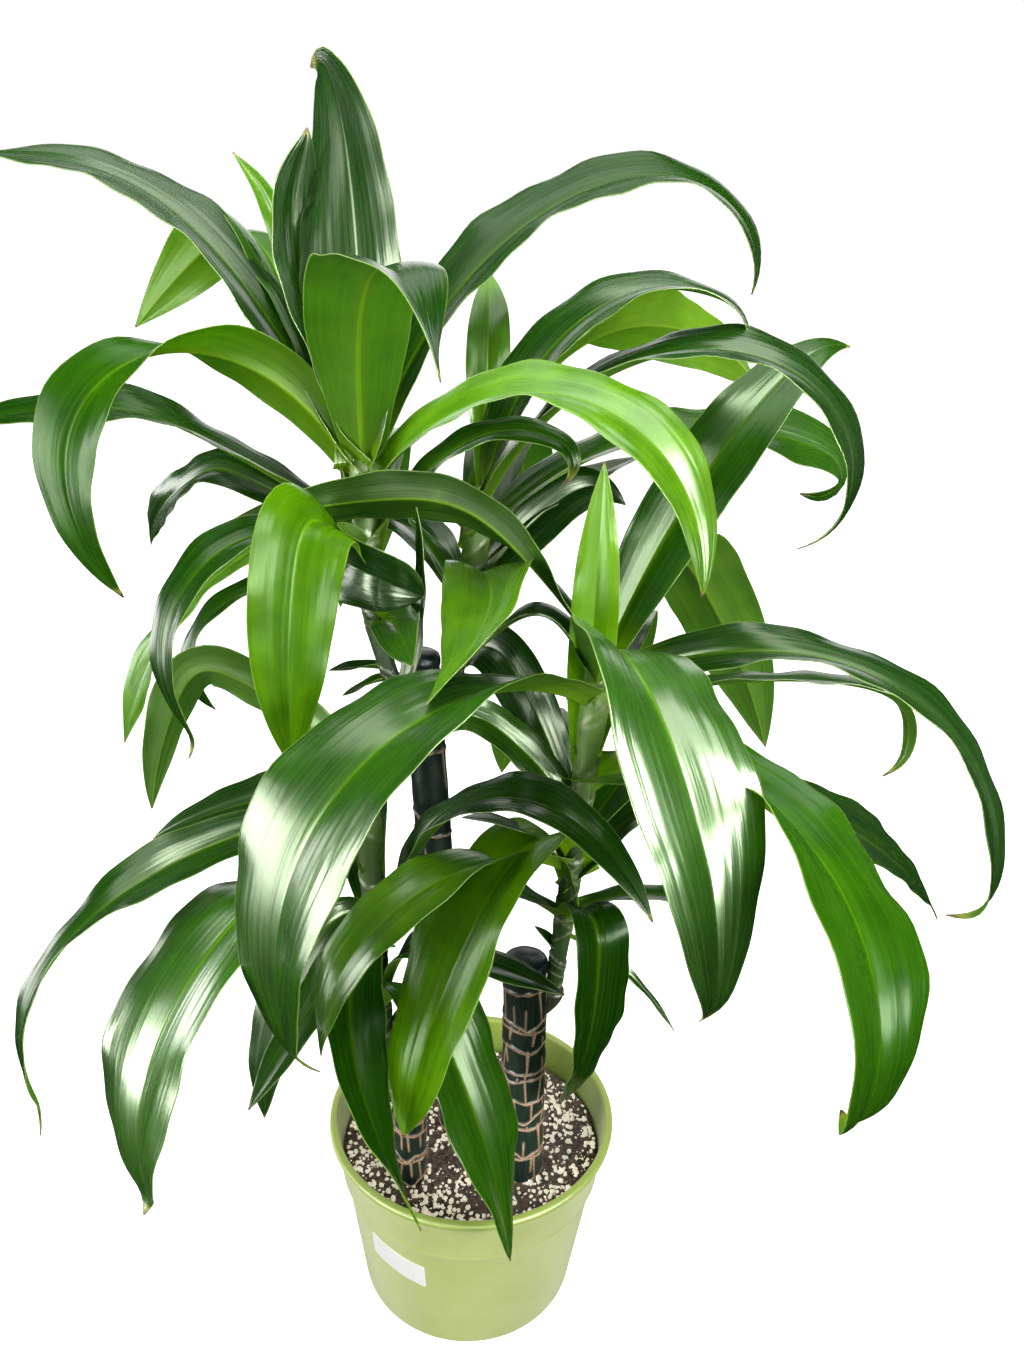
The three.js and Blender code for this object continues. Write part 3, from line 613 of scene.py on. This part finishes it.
def trace_midrib(start, leaf):
    """Points of the midrib, with the blade's side and upper normal at each."""
    facing, lift, droop, bend_at, bend_span, long = leaf[1:7]
    sweep, roll, twist, twist_at = leaf[8:12]
    dry, curl = leaf_looks(leaf)[3:]
    s = np.linspace(0, 1, BLADE.steps + 1)
    bend = BLADE.steady_bend * s
    bend = bend + (1 - BLADE.steady_bend) * bend_share(s, bend_at, bend_span)
    rise = np.radians(lift - droop * bend - curl * smooth_step(1 - 2 * dry, 1, s))
    heading = np.radians(facing + sweep * s)
    turned = 0.5 * (1 + np.tanh((s - twist_at) / BLADE.twist_span))
    rolled = np.radians(roll + twist * turned)[:, None]
    along = np.stack([np.cos(rise) * np.cos(heading), np.cos(rise) * np.sin(heading),
                      np.sin(rise)], 1)
    level = np.stack([-np.sin(heading), np.cos(heading), np.zeros_like(s)], 1)
    upper = np.cross(along, level)
    side = level * np.cos(rolled) + upper * np.sin(rolled)
    normal = upper * np.cos(rolled) - level * np.sin(rolled)
    moves = (along[:-1] + along[1:]) / 2 * long / BLADE.steps
    points = start + np.vstack([np.zeros(3), np.cumsum(moves, 0)])
    return s, points, side, normal


def leaf_mesh(points, leaf, number, seed):
    """Points, faces and fields of one blade, a closed body."""
    long, wide = leaf[6], leaf[7]
    youth, gloss, youth_under, dry = leaf_looks(leaf)[:4]
    s, centre, side, normal = trace_midrib(on_stem(points, leaf[0]), leaf)
    keep = np.arange(0, len(s), FINE.row_step)
    s, centre, side, normal = s[keep], centre[keep], side[keep], normal[keep]
    a = np.array([-x for x in reversed(ACROSS[1:])] + list(ACROSS))
    far = np.abs(a)[None, :]
    along = s[:, None]
    half = np.maximum(wide / 2 * width_share(s), BLADE.tip_half_width)[:, None]
    cup = BLADE.cup_tip + (BLADE.cup_base - BLADE.cup_tip) * (1 - along)
    clasp = FINE.clasp * np.clip(1 - along * long / FINE.clasp_length, 0, 1) ** 2
    turn = 2 * math.pi * long * along / BLADE.ripple_length
    ripple = np.sin(turn + BLADE.ripple_phase * number + 0.9 * np.sign(a)[None, :])
    ripple = BLADE.ripple * ripple * np.sin(math.pi * along) * wide / 60 * far ** 2
    flutter = np.sin(2 * math.pi * along * long / FINE.flutter_length + 5 * number
                     + 2 * np.sign(a)[None, :])
    flutter = FINE.flutter * flutter * np.sin(math.pi * along) * far ** 3
    swell = FINE.swell * np.sin(math.pi * far)
    raised = half * (cup * far + swell + clasp * far ** 2) + ripple + flutter
    front = (centre[:, None, :] + side[:, None, :] * (a[None, :, None] * half[:, :, None])
             + normal[:, None, :] * raised[:, :, None])
    rib = np.exp(-((far * half) / FINE.rib_width) ** 2) * (1 - 0.85 * along)
    thick = FINE.edge_thick + (FINE.rib_thick - FINE.edge_thick) * rib
    back = front - normal[:, None, :] * thick[:, :, None]
    count = len(a)
    ring = np.concatenate([front, back[:, ::-1]], 1)
    both = np.concatenate([a, a[::-1]])
    under = np.concatenate([np.zeros(count), np.ones(count)])
    rows = len(s)
    size = 2 * count
    dried = (along - (1 - dry)) / dry + 0.25 * np.abs(both)[None, :] ** 4

    def columns(*values):
        return np.stack([np.broadcast_to(value, (rows, size)) for value in values], 2)

    place = columns(both, along, (youth + (youth_under - youth) * under) / 3)
    lengths = columns(both * wide / 2, along * long, half)
    state = columns(under, dried, seed)
    *sides, low, high = tube_faces(rows, size)
    # the ring runs clockwise here, so each face is turned over
    faces = [face[:1] + face[:0:-1] for face in sides] + [low[::-1], high[::-1]]
    flat = [part.reshape(-1, 3) for part in (ring, place, lengths, state)]
    return flat[0], faces, flat[1:] + [np.full(rows * size, gloss)]


def make_leaves(number, material):
    points, faces, fields = [], [], []
    first = 0
    chance = random.Random(number)
    for k, leaf in enumerate(LEAVES[number]):
        spots, sides, extra = leaf_mesh(STEMS[number], leaf, k, chance.random())
        points.append(spots)
        faces += [tuple(first + v for v in face) for face in sides]
        fields.append(extra)
        first += len(spots)
    names = ("leaf_place", "leaf_mm", "leaf_state", "leaf_gloss")
    columns = {name: np.concatenate([f[k] for f in fields]) for k, name in enumerate(names)}
    make_piece(f"shoot_{number}_leaves", np.vstack(points), faces, material,
               [f"shoot_{number}"], columns)


# ---- stems ----

STEM_FINE = Sizes(
    sides=40, row=1.5, sheath=1.3, sheath_fall=9.0, tilt=7.0, collar=2.6,
    collar_fall=12.0, scar_gap=12.0, foot_rows=10, foot_drop=26.0, foot_reach=0.8,
    foot_narrowing=0.5, edge=2.0, inset=0.6, bud=0.35,
)


def make_stem(number, material):
    """The shoot's stem: overlapping leaf sheaths, and a swollen collar on the cane."""
    chance = random.Random(40 + number)
    curve = STEMS[number]
    cane = CANES[STEM_CANE[number]]
    length = np.linalg.norm(np.subtract(curve[2], curve[0]))
    rows = int(length / STEM_FINE.row)
    shares = np.linspace(0, 1, rows)
    angles = ring_angles(STEM_FINE.sides)
    sheaths = [(leaf[0] * length, math.radians(leaf[1])) for leaf in LEAVES[number]]
    lowest = min(height for height, _ in sheaths)
    height = STEM_FINE.scar_gap
    while height < lowest:
        sheaths.append((height, chance.uniform(0, 2 * math.pi)))
        height += STEM_FINE.scar_gap * chance.uniform(0.8, 1.3)
    points, place = [], []
    for share in shares:
        centre = on_stem(curve, share)
        high = share * length
        radius = STEM.low_radius + share * (STEM.high_radius - STEM.low_radius)
        swell = np.zeros(len(angles))
        edge = np.zeros(len(angles))
        for top, facing in sheaths:
            line = top + STEM_FINE.tilt * np.cos(angles - facing)
            below = line - high
            under = np.where(below > 0, np.exp(-np.abs(below) / STEM_FINE.sheath_fall), 0)
            swell = np.maximum(swell, under)
            edge = np.maximum(edge, np.where((below > 0) & (below < STEM_FINE.edge), 1.0, 0.0))
        collar = STEM_FINE.collar * math.exp(-(high / STEM_FINE.collar_fall) ** 2)
        spread = radius - STEM_FINE.inset + STEM_FINE.sheath * swell + collar
        for k, angle in enumerate(angles):
            points.append(centre + spread[k] * np.array([math.cos(angle), math.sin(angle), 0]))
            place.append((high, edge[k], smooth_step(0.55, 1.0, share)))
    # the foot turns into the cane, and the crown closes as a blunt bud
    foot = np.array(curve[0], float)
    share = (foot[2] - cane.foot[2]) / (cane.top[2] - cane.foot[2])
    axis = np.array(cane.foot, float) * (1 - share) + np.array(cane.top, float) * share
    foot_rings = []
    for t in np.linspace(1, 0, STEM_FINE.foot_rows, endpoint=False):
        centre = foot + (axis - foot) * STEM_FINE.foot_reach * t ** 1.5
        centre = centre - UP * STEM_FINE.foot_drop * t
        narrow = 1 - STEM_FINE.foot_narrowing * t ** 2
        foot_rings += [centre + (p - foot) * narrow for p in points[:len(angles)]]
    tip = on_stem(curve, 1) + UP * STEM.high_radius
    top_ring = [tip + STEM_FINE.bud * (p - on_stem(curve, 1)) for p in points[-len(angles):]]
    points = foot_rings + points + top_ring
    place = [(0.0, 0.0, 0.0)] * len(foot_rings) + place + [(length, 0.0, 1.0)] * len(angles)
    faces = tube_faces(rows + 1 + STEM_FINE.foot_rows, len(angles))
    make_piece(f"shoot_{number}_stem", points, faces, material,
               fields={"stem_place": place})


# ---- canes and wax ----

CANE_FINE = Sizes(
    sides=210, row=0.7, below=14, dip=6.0, dip_span=0.45, lean=1.6,
    raised=0.8, line=0.75, line_fall=0.9, lumps=0.45, lump_length=14.0, scar_rise=2,
    waver=1.6, crack_lean=0.22, far=50.0,
)
# Cracks from one leaf scar to the next: how many round each cane, the shares of the way
# where one starts and ends, and how much it widens upwards.
CRACKS = {"short": 9, "medium": 9, "tall": 1}
CRACK_SPANS = [(0, 1), (0, 1), (0, 0.5), (0.45, 1)]
CRACK_WEDGES = [0.2, 0.3, 0.5, 1.3]


def scar_heights(cane):
    count = int((cane.top[2] - SOIL.level) // cane.ring_gap)
    return [SOIL.level + LOWEST_RING + cane.ring_gap * (k + RING_WAVER * math.sin(2.4 * k))
            for k in range(count)]


def make_cane(name, material):
    """A cane with raised leaf scars, each dipping to a point under its bud, and fine
    cracks in the bark from scar to scar."""
    cane = CANES[name]
    foot, top = np.array(cane.foot, float), np.array(cane.top, float)
    low = SOIL.level - CANE_FINE.below
    heights = np.append(np.arange(low, top[2], CANE_FINE.row), top[2])
    angles = ring_angles(CANE_FINE.sides)
    chance = random.Random(len(name))

    def away_from(angle):
        return np.angle(np.exp(1j * (angles - angle)))

    def waver(scale, seed):
        return np.array([noise.noise(Vector((math.cos(a) * scale, math.sin(a) * scale, seed)))
                         for a in angles])

    scars = []
    for k, height in enumerate(scar_heights(cane)):
        bud = away_from(math.radians(-100 + 150 * (k % 2)) + chance.uniform(-0.5, 0.5))
        dip = CANE_FINE.dip * np.exp(-(bud / CANE_FINE.dip_span) ** 2)
        line = height + CANE_FINE.scar_rise - dip
        line = line + CANE_FINE.lean * np.sin(angles + k * 1.9)
        scars.append(line + CANE_FINE.waver * waver(2.2, k * 3.1))
    tall = heights[:, None]
    gap = np.full((len(heights), len(angles)), CANE_FINE.far)
    for k, line in enumerate(scars):
        width = CANE_FINE.line * (1.1 + 1.2 * waver(3.0, k * 5.3 + 0.5))
        gap = np.minimum(gap, np.abs(tall - line) - width)
    for lower, upper in zip(scars[:-1], scars[1:]):
        for crack in range(CRACKS[name]):
            start = 2 * math.pi * (crack + chance.uniform(-0.35, 0.35)) / CRACKS[name]
            lean = chance.uniform(-CANE_FINE.crack_lean, CANE_FINE.crack_lean)
            low_end, high_end = chance.choice(CRACK_SPANS)
            wedge = chance.choice(CRACK_WEDGES)
            share = (tall - lower) / (upper - lower)
            side = np.abs(away_from(start)[None, :] - lean * share) * cane.radius
            width = CANE_FINE.line * (0.5 + wedge * np.clip(share, 0, 1) ** 2)
            beyond = np.maximum(np.maximum(low_end - share, share - high_end), 0) * 15
            gap = np.minimum(gap, np.hypot(side, beyond) - width)
    raised = CANE_FINE.raised * np.exp(-(np.maximum(gap, 0) / CANE_FINE.line_fall) ** 2)
    along = ((heights - foot[2]) / (top[2] - foot[2]))[:, None, None]
    centre = foot + (top - foot) * along
    out = np.stack([np.cos(angles), np.sin(angles), 0 * angles], 1)[None, :, :]
    skin = (centre + out * cane.radius).reshape(-1, 3)
    lumps = wave_noise(skin, CANE_FINE.lump_length, len(name)) * CANE_FINE.lumps
    reach = cane.radius + raised + lumps.reshape(raised.shape)
    points = (centre + out * reach[:, :, None]).reshape(-1, 3)
    faces = tube_faces(len(heights), len(angles))
    make_piece(f"cane_{name}_bark", points, faces, material, [f"cane_{name}"],
               {"cane_line": gap.ravel()})


def make_wax(name, material):
    """A dipped wax cap with an uneven lower edge."""
    cane = CANES[name]
    rim = cane.radius + WAX.overhang
    top = np.array(cane.top, float)
    profile = [(rim - 0.9, -1.2), (rim - 0.1, -0.9), (rim, 0.4), (rim, 2.0), (rim - 0.5, 3.9),
               (rim * 0.93, 5.6), (rim * 0.8, 7.0), (rim * 0.6, 7.9), (rim * 0.35, 8.4),
               (rim * 0.12, WAX.height)]
    angles = ring_angles(WAX.sides)
    runs = np.abs(1.3 * np.sin(3 * angles + len(name)) + 0.9 * np.sin(7 * angles))
    points = []
    for radius, height in profile:
        for angle, run in zip(angles, runs):
            drop = run if height < 0 else 0
            points.append(top + (radius * math.cos(angle), radius * math.sin(angle),
                                 WAX.gap + height - drop))
    lumps = wave_noise(points, WAX.lump_length, 3.0 + len(name))
    points = [p + (p - top) / (np.linalg.norm(p - top) + 1) * WAX.lumps * n
              for p, n in zip(points, lumps)]
    faces = tube_faces(len(profile), len(angles))
    make_piece(f"wax_cap_{name}_dome", points, faces, material, [f"wax_cap_{name}"])


# ---- pot ----

def arc(centre, radius, start, end, count):
    """Points of an arc in the profile plane, angles in degrees."""
    return [(centre[0] + radius * math.cos(math.radians(a)),
             centre[1] + radius * math.sin(math.radians(a)))
            for a in np.linspace(start, end, count)]


def pot_profile():
    """Half of the pot's section, from the middle of the underside round to the floor."""
    lip_low = POT.height - POT.lip_height
    base, body_top, top, rim = (
        POT.base_radius, POT.body_top_radius, POT.collar_top_radius, POT.rim_radius)
    lip_inner = top - POT.wall
    collar = body_top + POT.collar_step
    shelf = POT.collar_low
    outer = [(30, 0), (60, 0), (base - 6, 0)]
    outer += arc((base - 2.2, 2.2), 2.2, -90, -6, 6)
    outer += [(base + t * (body_top - base), 2.4 + t * (shelf - 4.2 - 2.4))
              for t in np.linspace(0.04, 1, 14)]
    outer += [(body_top + 0.3, shelf - 3.6), (body_top + 1.5, shelf - 2.9)]
    outer += arc((collar - 1.1, shelf - 1.4), 1.1, -60, 20, 6)
    outer += [(collar - 0.1 + t * (top - collar + 0.1),
               shelf + 0.6 + t * (lip_low - 5 - shelf)) for t in np.linspace(0.03, 1, 9)]
    outer += [(top + 0.7, lip_low - 2.2), (rim - 3, lip_low - 1.2)]
    outer += arc((rim - 2.1, lip_low + 1.6), 2.1, -70, 0, 5)
    outer += arc((rim - 2.6, POT.height - 2.6), 2.6, 0, 90, 7)
    inner = arc((lip_inner + 1.6, POT.height - 1.6), 1.6, 90, 180, 5)
    inner += [(lip_inner, lip_low), (collar - POT.wall, shelf),
              (base - POT.wall + 2, POT.floor + 4), (base - POT.wall - 2, POT.floor),
              (60, POT.floor), (30, POT.floor)]
    return outer, inner


def make_pot(material):
    outer, inner = pot_profile()
    profile = outer + inner
    inside = [0.0] * len(outer) + [1.0] * len(inner)
    lip_low = POT.height - POT.lip_height - 1.0
    angles = ring_angles(POT.sides)
    points, within, lip = [], [], []
    for (radius, height), share in zip(profile, inside):
        for angle in angles:
            reach = radius + POT.out_of_round * math.sin(2 * angle + 0.6) * height / POT.height
            points.append((reach * math.cos(angle), reach * math.sin(angle), height))
            within.append(share if height < POT.height - 2 else 0.0)
            lip.append(1.0 if height > lip_low and radius > POT.collar_top_radius - 3 else 0.0)
    faces = tube_faces(len(profile), len(angles))
    pot = make_piece("pot_shell", points, faces, material, ["pot"],
                     {"pot_inside": within, "pot_lip": lip})
    cut_drain_holes(pot)


def cut_drain_holes(pot):
    cutter = bpy.data.meshes.new("drain_cutter")
    shape = bmesh.new()
    for k in range(DRAIN.count):
        angle = 2 * math.pi * (k + 0.5) / DRAIN.count
        spot = Matrix.Translation(Vector((math.cos(angle), math.sin(angle), 0))
                                  * DRAIN.circle * MM)
        bmesh.ops.create_cone(shape, cap_ends=True, segments=DRAIN.sides,
                              radius1=DRAIN.radius * MM, radius2=DRAIN.radius * MM,
                              depth=4 * POT.floor * MM, matrix=spot)
    shape.to_mesh(cutter)
    shape.free()
    tool = add_object("drain_cutter", cutter)
    cut = pot.modifiers.new("drain", "BOOLEAN")
    cut.operation = "DIFFERENCE"
    cut.solver = "EXACT"
    cut.object = tool
    bpy.context.view_layer.update()
    finished = bpy.data.meshes.new_from_object(pot.evaluated_get(
        bpy.context.evaluated_depsgraph_get()))
    pot.modifiers.clear()
    pot.data = finished
    bpy.data.objects.remove(tool)
    bpy.data.meshes.remove(cutter)


def inner_radius(height):
    """Radius of the pot's inner wall between its floor and its lip."""
    heights = (POT.floor, POT.collar_low, POT.height - POT.lip_height)
    radii = (POT.base_radius, POT.body_top_radius + POT.collar_step, POT.collar_top_radius)
    return float(np.interp(height, heights, radii)) - POT.wall


# ---- soil ----

def soil_height(x, y):
    waves = np.sin(x / 13 + 0.7) * np.cos(y / 17) + 0.6 * np.sin((x + y) / 7.3)
    return SOIL.level + SOIL.bump * waves


def make_soil(material):
    """Potting mix: a crumbly surface over a plain block that fills the pot."""
    edge = inner_radius(SOIL.level) - SOIL.clear
    angles = ring_angles(SOIL.sides)
    radii = edge * (1 - np.linspace(0, 1, SOIL.rings, endpoint=False) ** 0.9)
    x = (radii[:, None] * np.cos(angles)).ravel()
    y = (radii[:, None] * np.sin(angles)).ravel()
    top = np.stack([x, y, soil_height(x, y)], 1)
    near_edge = smooth_step(edge - SOIL.edge_band, edge, np.hypot(x, y))
    top[:, 2] += wave_noise(top, 9.0, 1.0) * 2.2 + wave_noise(top, 3.4, 2.0) * 1.5
    top[:, 2] += wave_noise(top, 1.7, 3.0) * 0.7 - near_edge * SOIL.edge_dip
    walls = []
    for height in (POT.floor + 0.3, POT.floor + 5, POT.collar_low, SOIL.level - 6):
        reach = inner_radius(height) - SOIL.clear - (4 if height < 6 else 0)
        walls.append(np.stack([reach * np.cos(angles), reach * np.sin(angles),
                               np.full_like(angles, height)], 1))
    points = np.vstack(walls + [top])
    faces = tube_faces(len(walls) + SOIL.rings, SOIL.sides)
    make_piece("soil_bed", points, faces, material, ["soil"])


def crumb(size, seed, flat):
    """Points and faces of one small irregular grain."""
    shape = bmesh.new()
    bmesh.ops.create_icosphere(shape, subdivisions=1, radius=1)
    chance = random.Random(seed)
    stretch = np.array([chance.uniform(0.7, 1.25), chance.uniform(0.7, 1.25), flat])
    turn = chance.uniform(0, 2 * math.pi)
    rotate = np.array([[math.cos(turn), -math.sin(turn), 0], [math.sin(turn), math.cos(turn), 0],
                       [0, 0, 1]])
    points = [np.array(v.co) * chance.uniform(0.78, 1.12) for v in shape.verts]
    points = [rotate @ (p * stretch) * size / 2 for p in points]
    faces = [tuple(v.index for v in f.verts) for f in shape.faces]
    shape.free()
    return points, faces


# Loose grains on the soil: how many, smallest and largest size (mm), how flat they are,
# how far each stands up and how thin they are strewn, then their look and painted glow.
GRAINS = {
    "perlite": Sizes(
        count=3300, sizes=(0.7, 5.6), seed=11, flat=0.8, sink=0.16, thin=0.18,
        material="perlite_grain", dark=(0.9, 0.78, 0.56), light=(1.0, 0.97, 0.88), glow=0.3,
    ),
    "bark_chips": Sizes(
        count=500, sizes=(1.5, 6.0), seed=12, flat=0.45, sink=0.1, thin=0.0,
        material="bark_chip", dark=(0.02, 0.012, 0.008), light=(0.12, 0.06, 0.035), glow=0.0,
    ),
}


def scatter(name, grain, material):
    """Grains strewn over the soil in thick and thin patches, clear of the canes, as one
    mesh."""
    chance = random.Random(grain.seed)
    edge = inner_radius(SOIL.level) - SOIL.grain_margin
    points, faces = [], []
    placed = 0
    while placed < grain.count:
        reach = edge * math.sqrt(chance.random())
        angle = chance.uniform(0, 2 * math.pi)
        x, y = reach * math.cos(angle), reach * math.sin(angle)
        small, large = grain.sizes
        size = small + (large - small) * chance.random() ** 2.2
        if noise.noise(Vector((x, y, grain.seed)) / 26) + grain.thin > chance.uniform(-0.5, 0.9):
            continue
        if any(math.hypot(x - c.foot[0], y - c.foot[1]) < c.radius for c in CANES.values()):
            continue
        spots, sides = crumb(size, chance.random(), grain.flat)
        base = np.array([x, y, float(soil_height(x, y)) + size * grain.sink])
        first = len(points)
        points += [base + p for p in spots]
        faces += [tuple(first + v for v in f) for f in sides]
        placed += 1
    make_piece(name, points, faces, material, smooth=False)


# ---- label ----

def make_label(material):
    """A blank sticker with rounded corners, bent round the tapered wall."""
    columns = LABEL.columns
    half_wide, half_tall = LABEL.wide / 2, LABEL.tall / 2
    rings = []
    for column in range(columns + 1):
        across = math.sin(math.pi / 2 * (2 * column / columns - 1)) * half_wide
        from_end = half_wide - abs(across)
        corner = LABEL.corner
        lost = corner - math.sqrt(max(corner ** 2 - max(corner - from_end, 0) ** 2, 0))
        middle = LABEL.low + half_tall + math.sin(math.radians(LABEL.tilt)) * across
        ring = []
        for height, lift in ((-1, 0), (1, 0), (1, 1), (-1, 1)):
            z = middle + height * (half_tall - lost)
            taper = POT.collar_low - POT.collar_step - LABEL.taper_low
            share = (z - LABEL.taper_low) / taper
            radius = POT.base_radius + share * (POT.body_top_radius - POT.base_radius)
            radius += LABEL.gap + lift * LABEL.thick
            angle = math.radians(LABEL.facing) + across / radius
            ring.append((radius * math.cos(angle), radius * math.sin(angle), z))
        rings += ring
    faces = tube_faces(columns + 1, 4)
    make_piece("label_sticker", rings, faces, material, ["label"], smooth=False)


# ---- stage, light and camera ----

def make_stage():
    """A plain white floor. Only the camera sees it: what the glossy leaves mirror there is
    the world's dim lower half, as in a room."""
    mesh = bpy.data.meshes.new("floor")
    reach = 30.0
    corners = [(-reach, -reach, 0), (reach, -reach, 0), (reach, reach, 0), (-reach, reach, 0)]
    mesh.from_pydata(corners, [], [(0, 1, 2, 3)])
    floor = add_object("floor", mesh)
    floor.visible_glossy = False
    floor.visible_diffuse = False
    g = material_graph("pale_floor")
    tone = g.mix(g.noise(g.place(), 3.0, 2.0), (0.6, 0.6, 0.6), (0.64, 0.64, 0.64))
    mesh.materials.append(g.finish(Base_Color=tone, Roughness=0.9, Emission_Strength=1.0,
                                   Emission_Color=(1, 1, 1, 1)))


# The room round the plant: the even light that matt surfaces get from it, and what
# glossy ones mirror, by height above the horizon (sine of the angle).
WORLD = Sizes(
    seen=1.0, even=0.42, below=0.01, band=0.11, above=0.02,
    band_low=(-0.22, -0.02), band_high=(0.2, 0.42),
)


def make_world():
    """White walls at the horizon and a dim ceiling and floor, as glossy leaves mirror
    them, with even light for all else."""
    g = Graph(bpy.data.worlds.new("studio"), "Background")
    up = g.split(g.nodes.new("ShaderNodeTexCoord").outputs["Generated"])[2]
    low = g.step(up, *WORLD.band_low, WORLD.below, WORLD.band)
    mirrored = g.step(up, *WORLD.band_high, low, WORLD.above)
    ray = g.nodes.new("ShaderNodeLightPath").outputs
    light = g.step(ray["Is Glossy Ray"], 0.0, 1.0, WORLD.even, mirrored)
    light = g.step(ray["Is Camera Ray"], 0.0, 1.0, light, WORLD.seen)
    bpy.context.scene.world = g.finish(Color=(1, 1, 1, 1), Strength=light)


LIGHTS = {
    # place, height that it aims at on the plant's axis, width and height (m), power (W),
    # and whether it only makes highlights
    "left": ((-1.55, -1.3, 0.45), 0.55, 1.7, 1.0, 160, True),
    "right": ((1.15, -1.6, 0.95), 0.55, 1.9, 0.85, 200, True),
    "right_high": ((0.9, -1.15, 2.1), 0.6, 1.0, 0.9, 170, True),
    "far_left": ((-2.0, 0.5, 0.45), 0.5, 1.2, 0.6, 26, True),
    "ceiling": ((-0.4, 1.0, 2.7), 0.7, 2.2, 1.4, 18, True),
    "left_fill": ((-1.7, -1.2, 1.0), 0.5, 1.2, 0.9, 34, False),
    "right_fill": ((1.6, -1.3, 1.0), 0.5, 1.2, 0.9, 32, False),
    "top": ((0.0, -0.2, 2.5), 0.5, 1.8, 1.4, 60, False),
    "back": ((0.0, 2.2, 1.3), 0.6, 3.0, 1.2, 22, False),
}


def make_lights():
    for name, (place, aim, wide, tall, power, highlight_only) in LIGHTS.items():
        data = bpy.data.lights.new(name, "AREA")
        data.shape = "RECTANGLE"
        data.size = wide
        data.size_y = tall
        data.energy = power
        lamp = add_object(name, data)
        lamp.visible_camera = False
        lamp.visible_diffuse = not highlight_only
        lamp.visible_transmission = not highlight_only
        lamp.location = place
        ray = Vector((0, 0, aim)) - Vector(place)
        lamp.rotation_euler = ray.to_track_quat("-Z", "Y").to_euler()


def make_camera():
    data = bpy.data.cameras.new("camera")
    data.sensor_fit = "VERTICAL"
    data.sensor_height = CAMERA.sensor
    data.lens = CAMERA.sensor * CAMERA.focal / CAMERA.frame_height
    data.clip_start = 0.01
    data.clip_end = 100
    camera = add_object("camera", data)
    tip = Matrix.Rotation(math.radians(90 - CAMERA.pitch), 4, "X")
    roll = Matrix.Rotation(math.radians(-CAMERA.roll), 4, "Z")
    camera.matrix_world = Matrix.Translation(Vector(CAMERA.place) * MM) @ tip @ roll
    bpy.context.scene.camera = camera


# ---- assembly ----

make_camera()
make_world()
make_lights()
make_stage()
bpy.context.scene.view_settings.view_transform = "Standard"

blade = leaf_material()
sheath = stem_material()
for number in LEAVES:
    make_leaves(number, blade)
    make_stem(number, sheath)

bark = cane_material()
wax = wax_material()
for name in CANES:
    make_cane(name, bark)
    make_wax(name, wax)

make_pot(pot_material())
make_soil(soil_material())
for name, grain in GRAINS.items():
    scatter(name, grain, grain_material(grain))
make_label(label_material())
